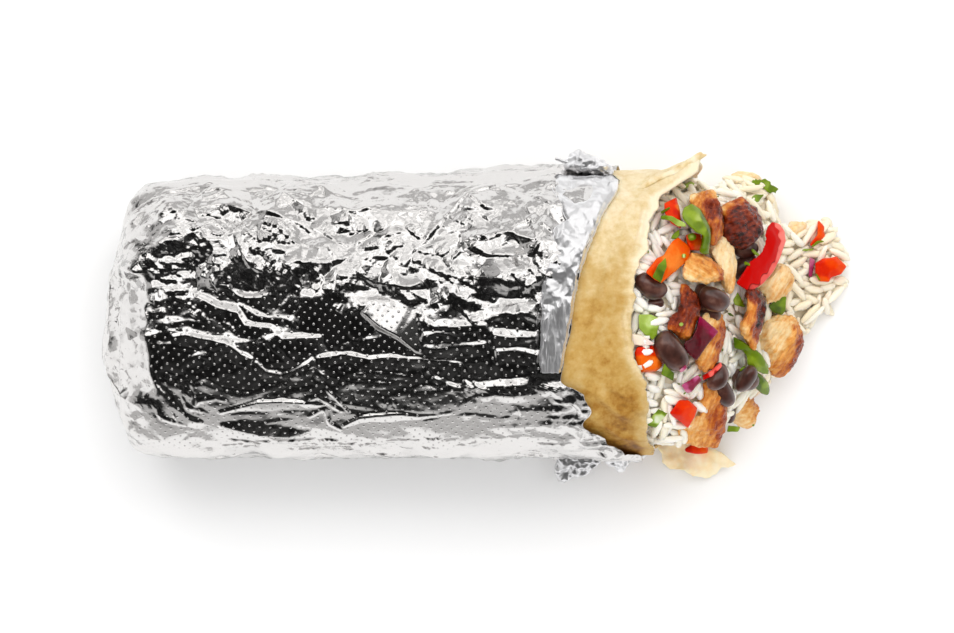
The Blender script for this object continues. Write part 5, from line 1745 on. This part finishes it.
    form = grain_form()
    rings, sides = form.shape[:2]
    all_v, all_f, all_t, tints = [], [], [], []
    base = form.reshape(-1, 3)
    r, c = np.meshgrid(np.arange(rings - 1), np.arange(sides), indexing="ij")
    c1 = (c + 1) % sides
    quads = np.stack([r * sides + c, r * sides + c1, (r + 1) * sides + c1, (r + 1) * sides + c], -1).reshape(-1, 4)
    fan = np.array([(0, k, k + 1) for k in range(1, sides - 1)])
    caps = np.vstack([fan, fan[:, ::-1] + (rings - 1) * sides])
    for k, (centre, d, up, length, width, bend, tint) in enumerate(grains):
        side = np.cross(up, d)
        v = base * np.array([length, width, width * 0.86])
        v[:, 1] += bend * (2 * base[:, 0]) ** 2
        v[:, 2] += 0.18 * noise(base * 3 + k * 7.7, 1.0, 71) * width * 0.3
        v = centre + v[:, :1] * d + v[:, 1:2] * side + v[:, 2:] * up
        v[:, 2] = np.maximum(v[:, 2], 0.05)
        all_v.append(v)
        all_f.append(quads + k * len(base))
        all_t.append(caps + k * len(base))
        tints.append(np.full(len(base), tint))
    mesh = bpy.data.meshes.new("rice_grains")
    mesh_from(mesh, np.vstack(all_v), np.vstack(all_f)[:, ::-1], np.vstack(all_t)[:, ::-1])
    ob = bpy.data.objects.new("rice_grains", mesh)
    bpy.context.scene.collection.objects.link(ob)
    bm = bmesh.new()
    bm.from_mesh(mesh)
    bmesh.ops.recalc_face_normals(bm, faces=bm.faces)
    bm.to_mesh(mesh)
    bm.free()
    mesh.polygons.foreach_set("use_smooth", np.ones(len(mesh.polygons), bool))
    add_attribute(ob, "tint", np.concatenate(tints))
    give(ob, rice_material("rice"))
    show(ob, "rice", "rice")
    print("grains", len(grains), "faces", len(mesh.polygons))

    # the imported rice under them
    xs = np.concatenate([[24.0], np.linspace(24, 96.5, 70), [96.5]])
    phi = np.linspace(0, 2 * math.pi, 120, endpoint=False)
    X, PHI = np.meshgrid(xs, phi, indexing="ij")
    p = heap_point(X, PHI)
    mid = np.stack([X, np.broadcast_to(heap_at(xs)[0][:, None], X.shape), np.broadcast_to(((heap_at(xs)[2] + heap_at(xs)[3]) / 2)[:, None], X.shape)], -1)
    r = np.linalg.norm(p - mid, axis=-1, keepdims=True)
    shrink = np.maximum(r - 1.7 + 0.4 * noise(p.reshape(-1, 3), 2.6, 81).reshape(*X.shape, 1), 0.3 * r)
    p = mid + (p - mid) * shrink / np.maximum(r, 1e-6)
    p[0] = p[1] * 0.02 + mid[1] * 0.98
    p[-1] = p[-2] * 0.02 + mid[-2] * 0.98
    p[..., 2] = np.maximum(p[..., 2], 0.5)
    # no farther out than the grains reach
    k = PX * (CAM_Z - p[..., 2])
    px = 477 + p[..., 0] / k
    p[..., 1] = np.clip(p[..., 1], (316.5 - np.interp(px, *HEAP_BELOW) + 9) * k, (316.5 - np.interp(px, *HEAP_ABOVE) - 9) * k)
    core = grid_mesh("rice_core", p, attributes={"tint": np.full(p.shape[0] * p.shape[1], 0.8)})
    give(core, rice_material("rice_core", 0.82))
    show(core, "rice")


def cream(x, y, rng):
    """How cream a grain is: more so low down and out at the spill."""
    z = float(heap_z(x, y))
    return float(np.clip(0.10 + 0.55 * smooth(30, 8, z) + 0.35 * smooth(22, 34, y) + 0.25 * smooth(-18, -30, y) + rng.normal(0, 0.16), 0, 1))


# ---------------------------------------------------------------- tortilla

# Soft folds: camera points, height, reach mm on the +Y side and the -Y side
TORTILLA_FOLDS = (
    (((632, 224), (612, 268), (598, 320), (586, 372)), 0.7, 3.4, 2.6),
    (((645, 205), (641, 232), (634, 262)), 0.7, 1.2, 1.0),
    (((648, 196), (630, 210), (616, 222)), 0.5, 1.6, 1.4),
    (((631, 300), (624, 320), (629, 352), (630, 366)), 0.55, 1.2, 0.9),
    (((590, 390), (606, 404), (632, 424), (641, 436)), 0.9, 2.0, 2.2),
    (((604, 388), (622, 398), (638, 408)), 0.45, 1.6, 1.2),
    (((600, 425), (620, 440), (640, 449)), 0.6, 1.2, 1.6),
)


def tortilla_material(name="tortilla", pale=0.0):
    made, tree, shader = node_material(name)
    n = Nodes(tree)
    place = n.object_mm()
    toast = n.attribute("toast")
    broad = n.noise(place, 0.10, detail=3, rough=0.55)
    mottle = n.noise(place, 0.42, detail=4, rough=0.6)
    fine = n.noise(place, 1.5, detail=3)
    level = n.math("MULTIPLY_ADD", n.math("SUBTRACT", broad, 0.5), 0.75, toast)
    level = n.math("MULTIPLY_ADD", n.math("SUBTRACT", mottle, 0.5), 0.62, level)
    level = n.math("MULTIPLY_ADD", n.math("SUBTRACT", fine, 0.5), 0.12, level)
    if pale:
        level = n.math("MULTIPLY_ADD", level, 0.5, 0.0)
    stops = ((0.0, (255, 240, 206) if pale else (236, 222, 192)), (0.25, (248, 218, 164) if pale else (220, 198, 152)), (0.45, (201, 170, 110)), (0.65, (187, 148, 76)), (0.82, (160, 112, 38)), (1.0, (104, 62, 16)))
    n.link(n.ramp(level, [(a, linear(*c)) for a, c in stops]), shader.inputs["Base Color"])
    shader.inputs["Roughness"].default_value = 0.62
    shader.inputs["Subsurface Weight"].default_value = 0.18
    shader.inputs["Subsurface Radius"].default_value = (1.0, 0.6, 0.3)
    shader.inputs["Subsurface Scale"].default_value = 0.0018
    normal = n.bump(mottle, 0.5, 0.25)
    n.link(n.bump(fine, 0.5, 0.10, normal), shader.inputs["Normal"])
    return made


def make_tortilla():
    cols = 280
    girth = SECTION_ARC.max() - SECTION_ARC.min()
    arc = np.linspace(-girth / 2, girth / 2, cols, endpoint=False)
    low = SECTION_ARC.min()
    phi = np.interp((arc - low) % girth + low, SECTION_ARC, _phi)
    deg = np.degrees(phi)
    rim = ring_value(TORTILLA_RIM, deg)
    flat_q = np.stack([arc, np.zeros(cols), np.zeros(cols)], -1)
    rim = np.where((deg % 360 > 200) & (deg % 360 < 246), np.minimum(rim, 60.5), rim)
    rim = rim + 0.9 * noise(flat_q, 6.0, 91) + 0.8 * noise(flat_q, 2.3, 92) + 0.7 * np.abs(noise(flat_q, 1.1, 98))
    s = np.concatenate([np.linspace(0.02, 1, 9), 1 + np.linspace(0, 0.76, 24)[1:], 1 + np.linspace(0.76, 1, 92)[1:]])
    S, PHI = np.meshgrid(s, phi, indexing="ij")
    RIM = np.broadcast_to(rim, S.shape)
    ARC = np.broadcast_to(arc, S.shape)
    DEG = np.broadcast_to(deg % 360, S.shape)

    def layer(inset_of):
        x0 = roll_surface(S, PHI, 9.4, RIM)[..., 0]
        inset = inset_of(x0)
        p = roll_surface(S, PHI, 9.4, RIM)
        y, z = roll_section(x0, PHI, inset)
        run = S > 1
        p[..., 1] = np.where(run, y, p[..., 1])
        p[..., 2] = np.where(run, z, p[..., 2])
        return p

    deep = lambda x: 3.4 - 2.0 * smooth(4, 24, x) + 6.0 * smooth(-56, -76, x)
    outer = layer(deep)
    away = np.maximum(RIM - outer[..., 0], 0)
    thick = 0.9 + 1.5 * smooth(0, 13, away)
    inner = layer(lambda x: deep(x) + thick)
    n = grid_normals(outer)
    if (n * (outer - np.array([0, 0.5, 29.0])))[60].sum() < 0:
        n = -n
    q = np.stack([outer[..., 0] * 0.8, ARC, np.zeros_like(ARC)], -1).reshape(-1, 3)
    h = 0.75 * noise(q, 15.0, 93) + 0.35 * noise(q, 6.5, 94) + 0.10 * noise(q, 2.4, 95)
    h = h.reshape(S.shape)
    rng = np.random.default_rng(8)
    fold = np.zeros((SHEET.NX, SHEET.NU), np.float32)
    for path, high, a, b in TORTILLA_FOLDS:
        box, d, side, t = path_distance(bent([at(*w) for w in path], rng, sway=0.4), max(a, b) + 0.3)
        width = np.where(side < 0, a, b)
        k = np.clip(1 - d / width, 0, 1)
        fold[box] = np.maximum(fold[box], high * np.clip(np.minimum(t, 1 - t) * 4, 0, 1) * k * k * (3 - 2 * k))
    h += SHEET.sample(fold, outer[..., 0], ARC)
    # the free edge waves a little
    free = smooth(10, 0, away)
    h += free * (0.8 * noise(flat_q + 3, 9.0, 96) + 0.35 * noise(flat_q, 3.2, 97))[None]
    h *= smooth(8, 26, outer[..., 0])
    # high on the +Y side the torn edge leans out
    curl = np.clip(1 - np.abs(DEG - 26) / 15, 0, 1) * smooth(42, 58, outer[..., 0])
    lean = np.array([0.05, 1.0, 0.45])
    for p in (outer, inner):
        p += n * h[..., None]
        p += lean * (6.0 * curl)[..., None]
        p[..., 2] = np.maximum(p[..., 2], 0.4)
    inner[..., 2] = np.maximum(inner[..., 2], outer[..., 2] * 0 + 0.9)
    lip = (outer[-1] + inner[-1]) / 2
    lip[:, 0] += 0.35
    p = np.concatenate([outer, lip[None], inner[::-1]], 0)
    y, z = p[..., 1], p[..., 2]
    toast = 0.20 + 0.43 * smooth(28, 0, y) + 0.12 * smooth(-6, -34, y) + 0.14 * smooth(-28, -38, y)
    toast -= 0.30 * smooth(4, 0, np.concatenate([away, away[-1:] * 0, away[::-1]], 0))
    rows = len(s)
    toast[rows:] -= 0.12
    full_arc = np.concatenate([ARC, ARC[-1:], ARC[::-1]], 0)
    ob = grid_mesh("tortilla_wrap", p, attributes={"toast": toast.reshape(-1), "tone": toast.reshape(-1)})
    bm = bmesh.new()
    bm.from_mesh(ob.data)
    bmesh.ops.holes_fill(bm, edges=[e for e in bm.edges if e.is_boundary])
    bmesh.ops.recalc_face_normals(bm, faces=bm.faces)
    bm.to_mesh(ob.data)
    bm.free()
    ob.data.polygons.foreach_set("use_smooth", np.ones(len(ob.data.polygons), bool))
    made = tortilla_material()
    give(ob, made)
    show(ob, "tortilla", "tortilla")

    # torn parts of the edge: thickness, height of the middle, slope, outline from above as camera points
    torn = {
        "tortilla_flap": (1.5, 2.6, (0.0, 0.10), ((655, 446), (661.3, 453), (662.9, 462), (670.5, 468), (679.7, 468.6), (693.5, 476), (707.2, 479.6),
                                                 (716, 474.5), (722.6, 468.4), (733.3, 467.6), (738.6, 464.5), (727.1, 457.7), (718, 449.2),
                                                 (704, 447), (690, 444), (670, 440)), 0.10),
        "tortilla_strip": (1.6, 46.8, (0.0, 0.05), ((618, 196), (640, 184), (655, 176), (672, 169.5), (686, 161), (697, 153.5), (702.7, 151.5),
                                                    (699, 155.5), (706, 153), (708, 155), (699, 160.5), (688, 167), (676, 174), (660, 180), (648, 187), (626, 200)), 0.22),
    }
    for name, (thick_, z_mid, slope, outline, tone_) in torn.items():
        piece = make_piece(name, "tortilla", z_mid, thick_, 0, ragged(outline, 1.1 if name == "tortilla_flap" else 0.5, 9), [(outline[0][0], outline[0][1], tone_)], slope=slope)
        v = np.zeros(len(piece.data.vertices) * 3, np.float32)
        piece.data.vertices.foreach_get("co", v)
        v = v.reshape(-1, 3) / MM
        add_attribute(piece, "toast", tone_ + 0.25 * noise(v, 4.0, 99) + 0.2 * noise(v, 1.3, 100))
        give(piece, made if name != "tortilla_flap" else tortilla_material("tortilla_pale", 1.0))


make_tortilla()
make_pieces()
make_rice()


# ---------------------------------------------------------------- floor, light and camera

def studio():
    world = bpy.data.worlds.new("studio")
    bpy.context.scene.world = world
    world.use_nodes = True
    tree = world.node_tree
    n = Nodes(tree)
    back = tree.nodes["Background"]
    way = n.new("ShaderNodeTexCoord").outputs["Generated"]
    parts = n.new("ShaderNodeSeparateXYZ")
    n.link(way, parts.inputs[0])
    x, y, z = parts.outputs
    # a bright band all round above the horizon, a dark ceiling, and a large softbox overhead on the +Y side
    band = n.remap(z, 0.56, 0.30)
    up = n.math("MAXIMUM", z, 0.02)
    a = n.math("DIVIDE", y, up)
    b = n.math("DIVIDE", x, up)
    near = n.remap(a, 0.15, 0.42)
    far = n.remap(a, 3.2, 1.7)
    left = n.remap(b, -1.05, -0.7)
    right = n.remap(b, 1.4, 0.95)
    box = n.math("MULTIPLY", n.math("MULTIPLY", near, far), n.math("MULTIPLY", left, right))
    glow = n.remap(a, 0.2, 1.3, 2.0, 1.35, kind="LINEAR")
    box = n.math("MULTIPLY", box, n.math("MULTIPLY", glow, n.remap(n.noise(way, 5.0, detail=1), 0.36, 0.54, 0.50, 1.0)))
    uneven = n.remap(n.noise(way, 2.6, detail=1), 0.42, 0.68, 0.004, 0.05)
    level = n.math("MULTIPLY_ADD", band, 0.60, uneven)
    level = n.math("ADD", level, box)
    n.link(level, back.inputs["Strength"])
    back.inputs["Color"].default_value = (1, 0.99, 0.98, 1)

    lamp = bpy.data.lights.new("key", "AREA")
    lamp.shape = "RECTANGLE"
    lamp.size, lamp.size_y = 1.5, 1.2
    lamp.energy = 9.4
    ob = bpy.data.objects.new("key", lamp)
    bpy.context.scene.collection.objects.link(ob)
    ob.location = (0.05, 0.35, 1.0)
    ob.rotation_euler = (Vector((0, 0, 0.02)) - ob.location).to_track_quat("-Z", "Y").to_euler()
    ob.visible_camera = False
    ob.visible_glossy = False

    lamp = bpy.data.lights.new("fill", "AREA")
    lamp.shape = "RECTANGLE"
    lamp.size, lamp.size_y = 1.6, 1.0
    lamp.energy = 6.8
    ob = bpy.data.objects.new("fill", lamp)
    bpy.context.scene.collection.objects.link(ob)
    ob.location = (-0.10, -0.65, 0.8)
    ob.rotation_euler = (Vector((0, 0, 0.02)) - ob.location).to_track_quat("-Z", "Y").to_euler()
    ob.visible_camera = False
    ob.visible_glossy = False

    floor_mesh = bpy.data.meshes.new("floor")
    bm = bmesh.new()
    bmesh.ops.create_grid(bm, x_segments=1, y_segments=1, size=4.0)
    bm.to_mesh(floor_mesh)
    bm.free()
    floor = bpy.data.objects.new("floor", floor_mesh)
    bpy.context.scene.collection.objects.link(floor)
    made, tree, shader = node_material("floor")
    shader.inputs["Base Color"].default_value = (0.95, 0.95, 0.95, 1)
    shader.inputs["Roughness"].default_value = 0.9
    shader.inputs["Specular IOR Level"].default_value = 0.1
    give(floor, made)


def camera():
    data = bpy.data.cameras.new("camera")
    data.sensor_width = 36.0
    data.lens = 36.0 * 1070 / (954 * 0.265)
    data.clip_start, data.clip_end = 0.05, 20
    ob = bpy.data.objects.new("camera", data)
    bpy.context.scene.collection.objects.link(ob)
    ob.location = (SHIFT[0] * MM, SHIFT[1] * MM, 1.1)
    ob.rotation_euler = (0, 0, 0)
    bpy.context.scene.camera = ob


studio()
camera()
bpy.context.scene.view_settings.view_transform = "Standard"
